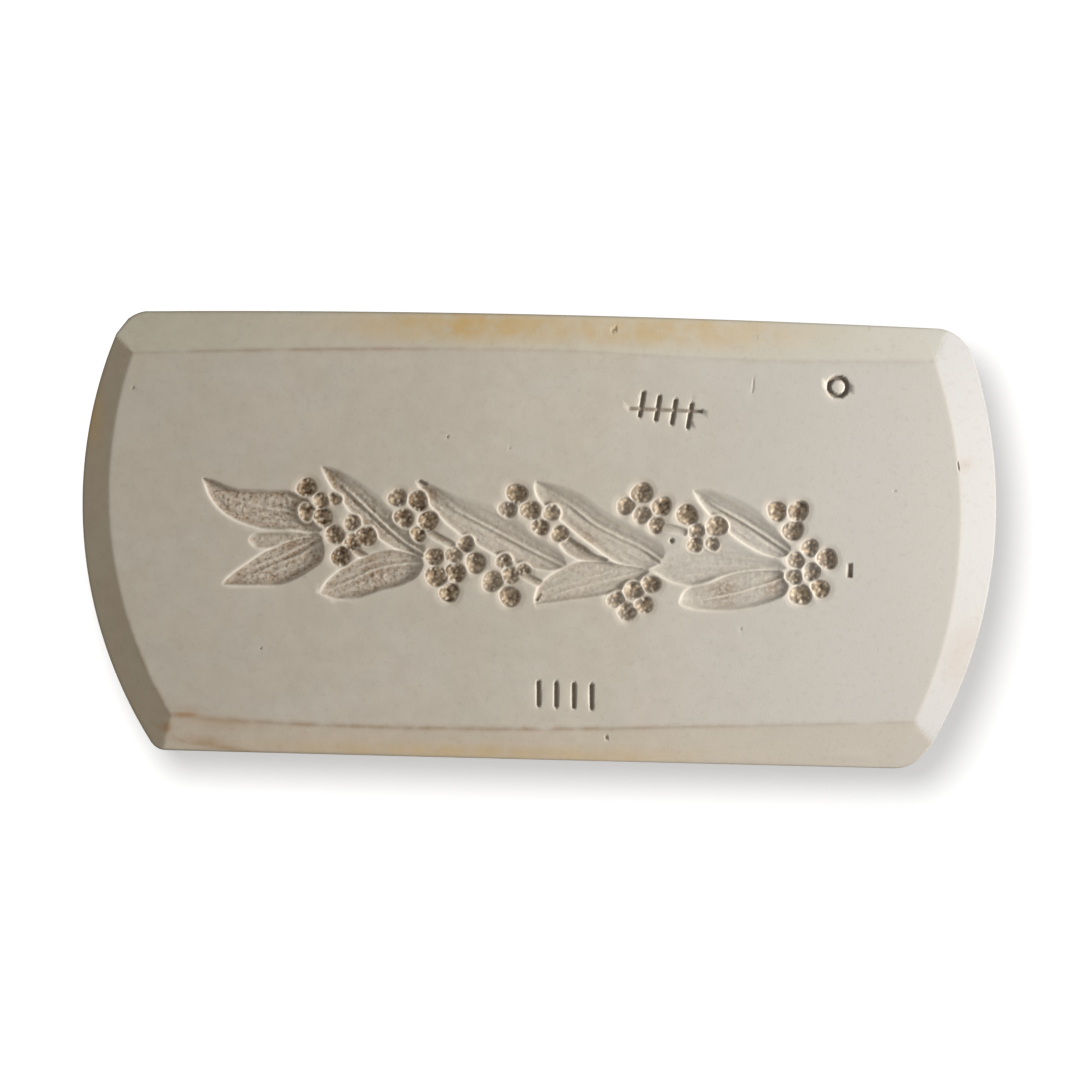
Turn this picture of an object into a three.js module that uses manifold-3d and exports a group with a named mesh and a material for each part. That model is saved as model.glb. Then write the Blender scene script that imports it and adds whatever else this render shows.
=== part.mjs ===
// A potter's sprig mould: one slab of cast plaster with a spray of leaves and berries sunk into its face.
// Clay pressed into the spray is lifted out as a relief and stuck on the side of a pot.
// Frame: origin at the middle of the underside, +X along the slab, +Y across it, +Z out of the face.

import * as THREE from 'three';
import { mergeVertices } from 'three/addons/utils/BufferGeometryUtils.js';
import Module from 'manifold-3d';

const WELD = 1e-5; // points nearer than this, in millimetres, are one point

const wasm = await Module();
wasm.setup();

// The slab, in millimetres.
const SLAB_LENGTH = 150;
const SLAB_WIDTH = 73.1;
const SLAB_HEIGHT = 20;
const LEFT_END_RADIUS = 73.4; // both ends bulge as arcs
const RIGHT_END_RADIUS = 79;
const END_RISE = 5.3; // the arcs' centres lie this far above the slab's middle line
const LEFT_CORNERS = { low: 3, high: 6 }; // radii
const RIGHT_CORNERS = { low: 6.5, high: 7 };
const UPPER_BOW = { rise: 0.8, at: 6, reach: 62 }; // the upper side falls away by its rise at its reach
const UNDERSIDE_CHAMFER = 0.8;

// The bevels pared off round the face by hand. An end's bevel is a cone that starts at a curved crease.
const LEFT_BEVEL = { width: 4.5, creaseRadius: 69.7, creaseRise: 7, slope: 24 };
const RIGHT_BEVEL = { width: 5.9, creaseRadius: 78, creaseRise: 3, slope: 20 };

// A long side's bevel has widths at its left end, its quarters and its right end, and twists between slopes.
const UPPER_BEVEL = { widths: [8.55, 6.8, 6, 6.8, 5.95], slopes: [30, 14] };
const LOWER_BEVEL = { widths: [6.6, 4.9, 5.1, 6.65, 8.4], slopes: [18, 25.5] };

// The spray. Its drawing is laid out in steps from a point just below the middle of the face.
const DRAWING_STEP = 1;
const DRAWING_MIDDLE = -0.4;
const LEAF_DEPTH = 1.1;
const LEAF_ROUNDING = 0.12; // share of a blade over which its outline closes at each end
const LEAF_RAMP = 0.15; // share of a blade over which its floor comes up at each end
const LEAF_END_DEPTH = 0.3; // share of its depth that a blade keeps at its tip and at its stalk
const LEAF_POINT = 0.12; // width left at the very tip of a blade
const BERRY_DEPTH = 0.85; // depth of a berry as a share of its radius
const STEM_RADIUS = 0.65;
const KNIFE_MARK = { width: 1, length: 2.1, depth: 0.8, at: [51.1, -3.8] };
const CUTTER_LIFT = 0.6; // how far every cutter stands out of the face

// How finely the curved forms are divided.
const END_STEPS = 9;
const CORNER_STEPS = 5;
const SIDE_STEPS = 12;
const CONE_STEPS = 120;
const BEVEL_STEPS = 16;
const LEAF_SECTIONS = 14;
const BERRY_SIDES = 12;
const BERRY_STEPS = 3;
const STEM_SIDES = 8;
const STEM_STEPS = 6;

// A blade's floor from its left margin to its right one: [share of the half width, share of the depth].
// It drops steeply at the margins and keeps a low ridge along the middle, which prints as the midrib.
const BLADE_FLOOR = [
  [-1, 0.22], [-0.84, 0.72], [-0.5, 0.98], [-0.13, 0.96], [0, 0.72],
  [0.13, 0.96], [0.5, 0.98], [0.84, 0.72], [1, 0.22],
];

// Each leaf: its midrib from the stalk to the tip, the half widths of the blade to the left and right of it
// at the stalk, a quarter, a half and three quarters of the way and the tip, and its depth in LEAF_DEPTHs.
const LEAVES = [
  {
    rib: [[-35.5, 0.6], [-40.3, 3.4], [-45.4, 4.1], [-50.7, 5.6], [-55.2, 8.6]],
    left: [1.2, 3, 3.5, 2.75, 0.6],
    right: [1.5, 3.1, 2.8, 1.55, 0.5],
    depth: 0.95,
  },
  {
    rib: [[-35.4, -0.7], [-39, -0.9], [-43.1, -1.1], [-47.4, -1.2]],
    left: [1, 1.6, 1.8, 1.6, 1.3],
    right: [0.8, 1.1, 1.2, 1.15, 1],
    depth: 0.55,
  },
  {
    rib: [[-35.6, -0.9], [-39.5, -3.1], [-43.4, -5], [-47.5, -6.8], [-51.6, -8.7]],
    left: [3, 3.7, 3.8, 2.2, 0.3],
    right: [1.2, 2.4, 2.4, 1.5, 0.5],
    depth: 1,
  },
  {
    rib: [[-18.2, -3.2], [-22.2, -0.8], [-26.7, 3], [-31.2, 7], [-35.8, 11]],
    left: [1, 2, 2.5, 1.9, 0.5],
    right: [1.5, 2.8, 3, 2.3, 0.9],
    depth: 1,
  },
  {
    rib: [[-18.8, -4.4], [-22.6, -4.7], [-26.6, -5.6], [-30.7, -7.6], [-35.5, -9.7]],
    left: [2, 3.5, 3.6, 2.9, 1],
    right: [1.5, 2.6, 2.7, 2.4, 0.9],
    depth: 0.9,
  },
  {
    rib: [[4.5, -4.4], [-1.2, -1.8], [-7.3, 1.3], [-13.8, 4.6], [-20.3, 9]],
    left: [1.2, 3.1, 3.5, 2.6, 0.5],
    right: [2, 2.8, 3.75, 2.1, 0.8],
    depth: 1.05,
  },
  {
    rib: [[11.5, -3.1], [8.5, -2.4], [6, -1], [3.7, 1.1]],
    left: [0.3, 1, 1.6, 1.8, 1.3],
    right: [0.3, 0.4, 0.9, 0.7, 0.5],
    depth: 0.6,
  },
  {
    rib: [[20.5, -3.2], [16.6, -0.8], [12.8, 0.9], [9.2, 2.7], [5.3, 5.5], [2.5, 7.3], [-0.7, 9.5]],
    left: [2.2, 4, 3.2, 2.9, 1.9],
    right: [2.6, 2.8, 2.8, 2.6, 0.5],
    depth: 1.05,
  },
  {
    rib: [[18.4, -4.4], [13.8, -5.8], [9.3, -7.1], [4.6, -8.4], [-0.3, -10.6]],
    left: [0.8, 2.2, 2.05, 1.5, 0.2],
    right: [0.5, 2.4, 4.2, 3.6, 2],
    depth: 0.75,
  },
  {
    rib: [[41.4, -1.2], [37.4, 1.3], [33.4, 3.8], [29.3, 5.9], [25.1, 8.6]],
    left: [1.6, 2.8, 2.9, 1.8, 0.4],
    right: [1.2, 2.2, 2.9, 2.7, 1],
    depth: 1.05,
  },
  {
    rib: [[40.8, -3.7], [35.2, -3.1], [29.5, -3], [23.9, -3.6], [18.2, -4.6]],
    left: [0.5, 1.2, 2.6, 3.4, 0.6],
    right: [0.8, 2.5, 3.9, 2.95, 1.6],
    depth: 0.95,
  },
  {
    rib: [[41, -5.1], [37.6, -6.4], [33.7, -7.6], [28.6, -9], [23.4, -9.9]],
    left: [2.6, 3, 2.8, 1.95, 0.8],
    right: [1.5, 2.8, 3.3, 2.5, 2.2],
    depth: 0.8,
  },
];

// The bunches of berries, from the tip of the spray to its stalk. Each berry is [x, y, radius].
const BUNCHES = [
  [[-38.2, 7.5, 1.6], [-35.8, 5.4, 1.35], [-33.5, 5.8, 1.1], [-38.1, 3.5, 1.5], [-35.4, 2.7, 1.6]],
  [
    [-33.4, -0.1, 1.55], [-30.6, 2, 1.35], [-28.3, -0.2, 1.7], [-30.5, -1.3, 1.45],
    [-32.3, -3.6, 1.65],
  ],
  [[-23.3, 6.2, 1.5], [-19.9, 5.8, 1.65], [-22.2, 2.9, 1.6], [-18.2, 2.5, 1.7], [-19.7, 0.4, 1.3]],
  [
    [-17, -3.3, 1.5], [-13.9, -2.9, 1.4], [-11.9, -1.1, 1.4], [-10.2, -4.1, 1.7],
    [-16.6, -6.5, 1.75], [-13.5, -5.8, 1.65], [-14.4, -9.1, 1.6],
  ],
  [[-5.6, -3.7, 1.3], [-7.4, -7.1, 1.7], [-4.4, -6, 1.45], [-2.4, -5.1, 1.15], [-4.5, -9.5, 1.7]],
  [
    [-3.8, 7.4, 1.7], [-5.2, 4.8, 1.45], [-1.5, 4.7, 1.6], [2, 4.4, 1.4],
    [0.2, 2, 1.4], [3.4, 1, 1.4],
  ],
  [[16.7, 8, 1.75], [14.1, 5.8, 1.45], [20, 5.9, 1.6], [16.8, 4.4, 1.45], [19.2, 2.8, 1.35]],
  [[24.2, 4.6, 1.75], [29.1, 2.9, 1.75], [25.8, 2, 1.3], [25.6, -0.2, 1.3], [28.4, 0, 1.15]],
  [[12.9, -9.6, 1.4], [15.7, -8, 1.6], [18.6, -6.9, 1.5], [14.7, -11.4, 1.55], [17.5, -10.3, 1.45]],
  [[38.9, 5.6, 1.6], [42.4, 5.7, 1.7], [41.6, 2.5, 1.7]],
  [
    [44.4, -0.3, 1.45], [47.3, -2, 1.7], [42.2, -2.4, 1.4], [44.8, -4.2, 1.5],
    [41.9, -5.1, 1.35], [46.3, -6.9, 1.5], [43.1, -8, 1.75],
  ],
];

// Short stalks that show between the bunches.
const STALKS = [
  [[-18.4, 0.9], [-16.5, -0.1], [-14.2, -1.3]],
  [[-2.6, -5.8], [-0.8, -6.7], [0.9, -7.5]],
  [[20.2, 2.5], [22, 2.3], [23.8, 1.8]],
  [[-30.4, -2], [-29.4, -3], [-28.2, -3.7]],
];

// Turns a closed geometry into a solid that can be cut and joined.
function solidOf(geometry) {
  const bare = geometry.clone();
  bare.deleteAttribute('normal');
  bare.deleteAttribute('uv');
  const merged = mergeVertices(bare, WELD);
  return new wasm.Manifold(new wasm.Mesh({
    numProp: 3,
    vertProperties: new Float32Array(merged.getAttribute('position').array),
    triVerts: new Uint32Array(merged.index.array),
  }));
}

// Turns a solid back into a geometry with flat-shaded faces.
function geometryOf(solid) {
  const mesh = solid.getMesh();
  const geometry = new THREE.BufferGeometry();
  geometry.setAttribute('position', new THREE.BufferAttribute(mesh.vertProperties, 3));
  geometry.setIndex(new THREE.BufferAttribute(mesh.triVerts, 1));
  const faceted = geometry.toNonIndexed();
  faceted.computeVertexNormals();
  return faceted;
}

// Points along an arc, from one angle to another.
function arcPoints(x, y, radius, from, to, steps) {
  const arc = new THREE.ArcCurve(x, y, radius, from, to, to < from);
  return arc.getPoints(steps);
}

// How far up the upper side lies at x. It bows outwards in a very shallow curve.
function upperSide(x) {
  return SLAB_WIDTH / 2 - UPPER_BOW.rise * ((x - UPPER_BOW.at) / UPPER_BOW.reach) ** 2;
}

// One end of the slab seen from above, anticlockwise as if it were the right end: corner, arc, corner.
function endOutline(side, radius, corners) {
  const arcX = SLAB_LENGTH / 2 - radius;
  const cornerX = (y, corner) => arcX + Math.sqrt((radius - corner) ** 2 - (y - END_RISE) ** 2);
  const { low, high } = corners;
  const lowY = low - SLAB_WIDTH / 2;
  const highY = upperSide(side * UPPER_BOW.reach) - high;
  const lowX = cornerX(lowY, low);
  const highX = cornerX(highY, high);
  const lowAngle = Math.atan2(lowY - END_RISE, lowX - arcX);
  const highAngle = Math.atan2(highY - END_RISE, highX - arcX);
  return [
    ...arcPoints(lowX, lowY, low, -Math.PI / 2, lowAngle, CORNER_STEPS),
    ...arcPoints(arcX, END_RISE, radius, lowAngle, 0, END_STEPS).slice(1),
    ...arcPoints(arcX, END_RISE, radius, 0, highAngle, END_STEPS).slice(1, -1),
    ...arcPoints(highX, highY, high, highAngle, Math.PI / 2, CORNER_STEPS),
  ];
}

// The slab seen from above: a straight lower side, a bowed upper one, and two bulging ends.
function slabOutline() {
  const rightEnd = endOutline(1, RIGHT_END_RADIUS, RIGHT_CORNERS);
  const leftEnd = endOutline(-1, LEFT_END_RADIUS, LEFT_CORNERS);
  const mirrored = leftEnd.map(({ x, y }) => new THREE.Vector2(-x, y)).reverse();
  const [from, to] = [rightEnd.at(-1).x, mirrored[0].x];
  const top = [];
  for (let step = 1; step < SIDE_STEPS; step += 1) {
    const x = THREE.MathUtils.lerp(from, to, step / SIDE_STEPS);
    top.push(new THREE.Vector2(x, upperSide(x)));
  }
  return new THREE.Shape([...rightEnd, ...top, ...mirrored]);
}

// The slab before its face is bevelled: its outline raised to full height, its arrises chamfered.
function plainSlab() {
  const slab = new THREE.ExtrudeGeometry(slabOutline(), {
    depth: SLAB_HEIGHT - 2 * UNDERSIDE_CHAMFER,
    bevelEnabled: true,
    bevelThickness: UNDERSIDE_CHAMFER,
    bevelSize: UNDERSIDE_CHAMFER,
    bevelOffset: -UNDERSIDE_CHAMFER,
    bevelSegments: 1,
  });
  slab.translate(0, 0, UNDERSIDE_CHAMFER);
  return solidOf(slab);
}

// The value at share t of the way along a smooth curve through evenly spaced values.
function smoothValue(t, values) {
  const places = values.map((_, i) => i / (values.length - 1));
  return new THREE.CubicInterpolant(places, values, 1, [0]).evaluate(t)[0];
}

// Cuts a long side's bevel: sections whose lower edge slopes down and outwards from the crease.
function sideBevelCutter(widths, slopes) {
  const reach = SLAB_WIDTH / 2;
  const positions = [];
  for (let step = 0; step <= BEVEL_STEPS; step += 1) {
    const t = step / BEVEL_STEPS;
    const width = smoothValue(t, widths);
    const slope = THREE.MathUtils.lerp(...slopes, t);
    const drop = (reach + width) * Math.tan(THREE.MathUtils.degToRad(slope));
    const x = (2 * t - 1) * (SLAB_LENGTH / 2 + CUTTER_LIFT);
    const crease = SLAB_WIDTH / 2 - width;
    positions.push(x, SLAB_WIDTH / 2 + reach, SLAB_HEIGHT - drop);
    positions.push(x, crease, SLAB_HEIGHT);
    positions.push(x, crease, SLAB_HEIGHT + CUTTER_LIFT);
    positions.push(x, SLAB_WIDTH / 2 + reach, SLAB_HEIGHT + CUTTER_LIFT);
  }
  return loft(positions, 4);
}

// Cuts an end's bevel: a ring whose lower face is a cone that starts at the curved crease.
function endBevelCutter(side, { width, creaseRadius, creaseRise, slope }) {
  const outer = creaseRadius + SLAB_WIDTH / 2;
  const drop = (outer - creaseRadius) * Math.tan(THREE.MathUtils.degToRad(slope));
  const ring = new THREE.LatheGeometry([
    new THREE.Vector2(creaseRadius, 0),
    new THREE.Vector2(outer, -drop),
    new THREE.Vector2(outer, CUTTER_LIFT),
    new THREE.Vector2(creaseRadius, CUTTER_LIFT),
    new THREE.Vector2(creaseRadius, 0),
  ], CONE_STEPS);
  ring.rotateX(Math.PI / 2);
  ring.translate(side * (SLAB_LENGTH / 2 - width - creaseRadius), creaseRise, SLAB_HEIGHT);
  const half = new THREE.BoxGeometry(SLAB_LENGTH, 2 * SLAB_LENGTH, 4 * SLAB_HEIGHT);
  half.translate(side * SLAB_LENGTH / 2, 0, SLAB_HEIGHT);
  return solidOf(ring).intersect(solidOf(half));
}

// How far a blade's outline has opened at a share of its length from one end: a quarter of an ellipse.
function openness(share) {
  const m = Math.min(1, share / LEAF_ROUNDING);
  return Math.sqrt(m * (2 - m));
}

// Half width of a blade at share t of its length: a smooth curve through its widths, closed at both ends.
function bladeHalfWidth(t, widths) {
  const width = smoothValue(t, widths) * DRAWING_STEP;
  return Math.max(width * openness(t) * openness(1 - t), LEAF_POINT / 2);
}

// A blade's depth at share t of its length: the floor comes up in a curve towards both ends.
function bladeDepth(t, depth) {
  const near = Math.min(1, Math.min(t, 1 - t) / LEAF_RAMP);
  const rise = LEAF_END_DEPTH + (1 - LEAF_END_DEPTH) * near * (2 - near);
  return depth * LEAF_DEPTH * rise;
}

// Where a point of the drawing lies on the face.
function onFace([x, y]) {
  return new THREE.Vector3(x * DRAWING_STEP, y * DRAWING_STEP + DRAWING_MIDDLE, SLAB_HEIGHT);
}

// A leaf as a cutter: sections across the midrib, each a dished floor with a lid above the face.
function leafCutter({ rib, left, right, depth }) {
  const midrib = new THREE.CatmullRomCurve3(rib.map(onFace), false, 'centripetal');
  const positions = [];
  for (let section = 0; section <= LEAF_SECTIONS; section += 1) {
    const t = (1 - Math.cos(Math.PI * section / LEAF_SECTIONS)) / 2;
    const at = midrib.getPointAt(t);
    const along = midrib.getTangentAt(t);
    const place = (share, z) => {
      const reach = share < 0 ? bladeHalfWidth(t, left) : bladeHalfWidth(t, right);
      positions.push(at.x + along.y * share * reach, at.y - along.x * share * reach, at.z + z);
    };
    BLADE_FLOOR.forEach(([share, sunk]) => place(share, -sunk * bladeDepth(t, depth)));
    place(1, CUTTER_LIFT);
    place(-1, CUTTER_LIFT);
  }
  return solidOf(loft(positions, BLADE_FLOOR.length + 2));
}

// Joins rings of points, each with the same count, into a closed skin with flat ends.
function loft(positions, count) {
  const rings = positions.length / 3 / count;
  const faces = [];
  for (let ring = 0; ring < rings - 1; ring += 1) {
    for (let i = 0; i < count; i += 1) {
      const a = ring * count + i;
      const b = ring * count + (i + 1) % count;
      faces.push(a, a + count, b, b, a + count, b + count);
    }
  }
  const last = (rings - 1) * count;
  for (let i = 1; i < count - 1; i += 1) {
    faces.push(0, i, i + 1);
    faces.push(last, last + i + 1, last + i);
  }
  const geometry = new THREE.BufferGeometry();
  geometry.setAttribute('position', new THREE.Float32BufferAttribute(positions, 3));
  geometry.setIndex(faces);
  return geometry;
}

// A berry as a cutter: half an ellipsoid sunk into the face, with a plug above it.
function berryCutter([x, y, steps]) {
  const radius = steps * DRAWING_STEP;
  const depth = BERRY_DEPTH * radius;
  const profile = [new THREE.Vector2(0, -depth)];
  for (let i = 1; i <= BERRY_STEPS; i += 1) {
    const angle = (Math.PI / 2) * (i / BERRY_STEPS);
    profile.push(new THREE.Vector2(radius * Math.sin(angle), -depth * Math.cos(angle)));
  }
  profile.push(new THREE.Vector2(radius, CUTTER_LIFT), new THREE.Vector2(0, CUTTER_LIFT));
  const pit = new THREE.LatheGeometry(profile, BERRY_SIDES);
  pit.rotateX(Math.PI / 2);
  pit.translate(...onFace([x, y]));
  return solidOf(pit);
}

// A stalk as a cutter: a half-round groove along a short curve on the face.
function stalkCutter(route) {
  const section = new THREE.Shape();
  for (let i = 0; i < STEM_SIDES; i += 1) {
    const angle = 2 * Math.PI * (i + 0.5) / STEM_SIDES;
    const [u, v] = [STEM_RADIUS * Math.cos(angle), STEM_RADIUS * Math.sin(angle)];
    if (i === 0) section.moveTo(u, v);
    else section.lineTo(u, v);
  }
  return solidOf(new THREE.ExtrudeGeometry(section, {
    steps: STEM_STEPS,
    bevelEnabled: false,
    extrudePath: new THREE.CatmullRomCurve3(route.map(onFace)),
  }));
}

// The short upright nick that a tool left beside the stalk end of the spray.
function knifeMarkCutter() {
  const { width, length, depth, at } = KNIFE_MARK;
  const mark = new THREE.BoxGeometry(width, length, depth + CUTTER_LIFT);
  mark.translate(...onFace(at));
  mark.translate(0, 0, (CUTTER_LIFT - depth) / 2);
  return solidOf(mark);
}

function mouldBlock() {
  const upperBevel = sideBevelCutter(UPPER_BEVEL.widths, UPPER_BEVEL.slopes);
  const lowerBevel = sideBevelCutter([...LOWER_BEVEL.widths].reverse(), [...LOWER_BEVEL.slopes].reverse());
  lowerBevel.rotateZ(Math.PI);
  const bevels = [
    solidOf(upperBevel),
    solidOf(lowerBevel),
    endBevelCutter(-1, LEFT_BEVEL),
    endBevelCutter(1, RIGHT_BEVEL),
  ];
  const spray = [
    ...LEAVES.map(leafCutter),
    ...BUNCHES.flat().map(berryCutter),
    ...STALKS.map(stalkCutter),
    knifeMarkCutter(),
  ];
  const cut = [...bevels, ...spray].reduce((block, cutter) => block.subtract(cutter), plainSlab());
  const plaster = new THREE.MeshStandardMaterial({ color: 0xc8bfae, roughness: 0.85, metalness: 0 });
  const mesh = new THREE.Mesh(geometryOf(cut), plaster);
  mesh.name = 'mould_block';
  return mesh;
}

const sprigMould = new THREE.Group();
sprigMould.name = 'sprig_mould';
sprigMould.add(mouldBlock());

export default sprigMould;
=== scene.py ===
# %% [markdown]
# A potter's sprig mould.
# This object is a slab of cast plaster, about as long as a hand, with a spray of leaves and berries sunk
# into its face. A potter presses soft clay into the spray, scrapes it level, lifts the little relief out
# and sticks it on a pot. Nothing on it moves, so the whole lesson is about one surface and one material.

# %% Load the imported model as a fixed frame
import math

import bpy
import numpy as np
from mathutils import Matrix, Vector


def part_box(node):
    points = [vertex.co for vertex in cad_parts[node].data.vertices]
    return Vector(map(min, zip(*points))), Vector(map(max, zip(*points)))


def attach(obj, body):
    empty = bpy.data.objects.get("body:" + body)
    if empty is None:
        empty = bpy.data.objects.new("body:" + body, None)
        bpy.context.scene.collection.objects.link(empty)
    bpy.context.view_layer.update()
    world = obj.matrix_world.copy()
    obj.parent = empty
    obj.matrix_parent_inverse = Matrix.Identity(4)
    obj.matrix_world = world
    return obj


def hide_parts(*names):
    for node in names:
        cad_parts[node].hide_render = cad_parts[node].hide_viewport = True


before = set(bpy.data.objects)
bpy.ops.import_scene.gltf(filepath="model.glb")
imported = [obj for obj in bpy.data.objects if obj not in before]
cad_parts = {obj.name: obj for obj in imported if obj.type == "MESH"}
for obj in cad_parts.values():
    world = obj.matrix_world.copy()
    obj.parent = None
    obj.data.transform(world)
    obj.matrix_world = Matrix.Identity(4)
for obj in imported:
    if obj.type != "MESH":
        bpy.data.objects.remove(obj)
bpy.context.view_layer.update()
MM = 0.001
low_corner, high_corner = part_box("mould_block")
LENGTH, WIDTH, HEIGHT = ((high_corner - low_corner) / MM)[:]
print(f"frame: slab {LENGTH:.1f} x {WIDTH:.1f} x {HEIGHT:.1f} mm")

# %% [markdown]
# The camera comes first, because everything after it is compared with the photograph.
# The mould was photographed from straight above, lying very slightly turned. A camera that is turned the
# other way shows it so, and a long lens far away keeps the upright sides of the slab out of sight. The
# lens follows from similar triangles: sensor width over lens length equals view width over distance.

# %% Set the camera over the slab
PICTURE_PIXELS = 1080
SLAB_PIXELS = 916
TURN = math.radians(1.46)
CENTRE_OFF_PIXELS = (1.5, -3.1)
CAMERA_DISTANCE = 0.9
SENSOR = 36.0


def add_camera():
    """Looks straight down at the face, turned by TURN, so that the slab fills its share of the picture."""
    view_width = LENGTH * MM * PICTURE_PIXELS / SLAB_PIXELS
    pixel = view_width / PICTURE_PIXELS
    right, up = (offset * pixel for offset in CENTRE_OFF_PIXELS)
    data = bpy.data.cameras.new("camera")
    data.sensor_width = SENSOR
    data.lens = SENSOR * CAMERA_DISTANCE / view_width
    camera = bpy.data.objects.new("camera", data)
    camera.location = (
        right * math.cos(TURN) - up * math.sin(TURN),
        right * math.sin(TURN) + up * math.cos(TURN),
        HEIGHT * MM + CAMERA_DISTANCE,
    )
    camera.rotation_euler = (0, 0, TURN)
    bpy.context.collection.objects.link(camera)
    bpy.context.scene.camera = camera
    print(f"camera: {data.lens:.0f} mm lens, view {view_width / MM:.1f} mm wide")


add_camera()

# %% [markdown]
# The slab's outline is a straight lower side, an upper side that bows outwards by less than a millimetre,
# and two bulging ends. All four corners are rounded differently, because they were shaped by hand.
# Bevels were pared off all round the face with a knife. Each bevel starts at a crease: the end creases
# are arcs, and the long ones bend a little. Writing each line as a function, x as a function of y or y
# as a function of x, lets the mesh follow all of them exactly.

# %% The outline
HIGH_SIDE = high_corner[1] / MM
END_RISE = 5.3
LEFT_END = {"side": -1, "radius": 73.4, "low": 3.0, "high": 6.0}
RIGHT_END = {"side": 1, "radius": 79.0, "low": 6.5, "high": 7.0}
UPPER_BOW = {"rise": 0.8, "at": 6.0, "reach": 62.0}

def upper_side(x):
    """The upper side falls away from its highest point as the square of the distance: a parabola."""
    return HIGH_SIDE - UPPER_BOW["rise"] * ((x - UPPER_BOW["at"]) / UPPER_BOW["reach"]) ** 2


def corner_arc(end, y):
    """Radius and centre of the end's upper or lower corner, which touches the end arc from inside."""
    top = upper_side(end["side"] * UPPER_BOW["reach"])
    radius = np.where(y > 0, end["high"], end["low"])
    centre_y = np.where(y > 0, top - end["high"], end["low"] - WIDTH / 2)
    reach = np.sqrt((end["radius"] - radius) ** 2 - (centre_y - END_RISE) ** 2)
    return radius, LENGTH / 2 - end["radius"] + reach, centre_y


def end_edge(end, y):
    """Half the slab's length at height y: the end arc, and beyond the point of touch the corner's arc."""
    radius, corner_x, corner_y = corner_arc(end, y)
    arc = LENGTH / 2 - end["radius"] + np.sqrt(end["radius"] ** 2 - (y - END_RISE) ** 2)
    touch = corner_y + radius * (corner_y - END_RISE) / (end["radius"] - radius)
    over = np.clip(np.abs(y - corner_y), 0, radius)
    return np.where(np.abs(y) > np.abs(touch), corner_x + np.sqrt(radius**2 - over**2), arc)


heights = np.array([-30.0, 0.0, 30.0])
print(f"outline: the right end reaches x = {end_edge(RIGHT_END, heights).round(2)} at y = {heights}")

# %% The creases of the face
LEFT_BEVEL = {"width": 4.5, "radius": 69.7, "rise": 7.0, "slope": 24.0}
RIGHT_BEVEL = {"width": 5.9, "radius": 78.0, "rise": 3.0, "slope": 20.0}
UPPER_BEVEL = {"widths": (8.55, 6.8, 6.0, 6.8, 5.95), "slopes": (30.0, 14.0)}
LOWER_BEVEL = {"widths": (6.6, 4.9, 5.1, 6.65, 8.4), "slopes": (18.0, 25.5)}
BEVEL_REACH = LENGTH / 2 + 0.6
TABLE_SIZE = 201


def smooth_curve(places, values, at):
    """A cubic curve through the values. Each slope comes from the neighbours: (v2 - v0) / (p2 - p0)."""
    values = np.array(values, float).reshape(len(places), -1)
    slopes = np.gradient(values, places, axis=0)
    k = np.clip(np.searchsorted(places, at, "right") - 1, 0, len(places) - 2)
    step = (places[k + 1] - places[k])[:, None]
    t = (at - places[k])[:, None] / step
    hold = values[k] * (2 * t**3 - 3 * t**2 + 1) + values[k + 1] * (3 * t**2 - 2 * t**3)
    turn = slopes[k] * (t**3 - 2 * t**2 + t) + slopes[k + 1] * (t**3 - t**2)
    return hold + turn * step


def end_crease(bevel, y):
    """Distance from the middle to an end's crease: an arc with its own radius and rise."""
    centre = LENGTH / 2 - bevel["width"] - bevel["radius"]
    return centre + np.sqrt(bevel["radius"] ** 2 - (y - bevel["rise"]) ** 2)


def side_width(bevel, x):
    """A long bevel's width: a smooth curve through its widths at both ends and at the three quarters."""
    places = np.linspace(-BEVEL_REACH, BEVEL_REACH, len(bevel["widths"]))
    table = np.linspace(-BEVEL_REACH, BEVEL_REACH, TABLE_SIZE)
    return np.interp(x, table, smooth_curve(places, bevel["widths"], table)[:, 0])


print(f"creases: the right one reaches x = {end_crease(RIGHT_BEVEL, heights).round(2)} at y = {heights}")

# %% [markdown]
# The face is one height field: for every point of the plan, how deep the plaster lies below the face.
# The points come from a lattice of rows and columns that bends with the outline and the creases, and
# crowds together where the surface turns. The carved cells are divided much more finely later on, so
# the lattice is worked out at that fine spacing at once, and most of it is then left out of the mesh.

# %% The lines that the lattice follows
# FINE is how many fine steps a cell has. The cell counts run from the left crease over the carved band to
# the right crease, and from the lower crease over the band to the upper one.
FINE = 6
COLUMN_CELLS = (8, 116, 9)
ROW_CELLS = (11, 26, 11)
BAND = {"left": -57.5, "right": 53.2, "low": -13.0, "high": 12.0}
CLEAR = 2.4
EDGE_STEPS = (0.0, 0.06, 0.18, 0.36, 0.7, 1.2)
CREASE_STEPS = (-0.8, -0.4, -0.16, 0.0, 0.16, 0.4, 0.8)


def held_crease(end, bevel, y):
    """The end's crease, held off the outline in the corners, so that no two lines cross there."""
    return np.minimum(end_crease(bevel, y), end_edge(end, y) - CLEAR)


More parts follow.
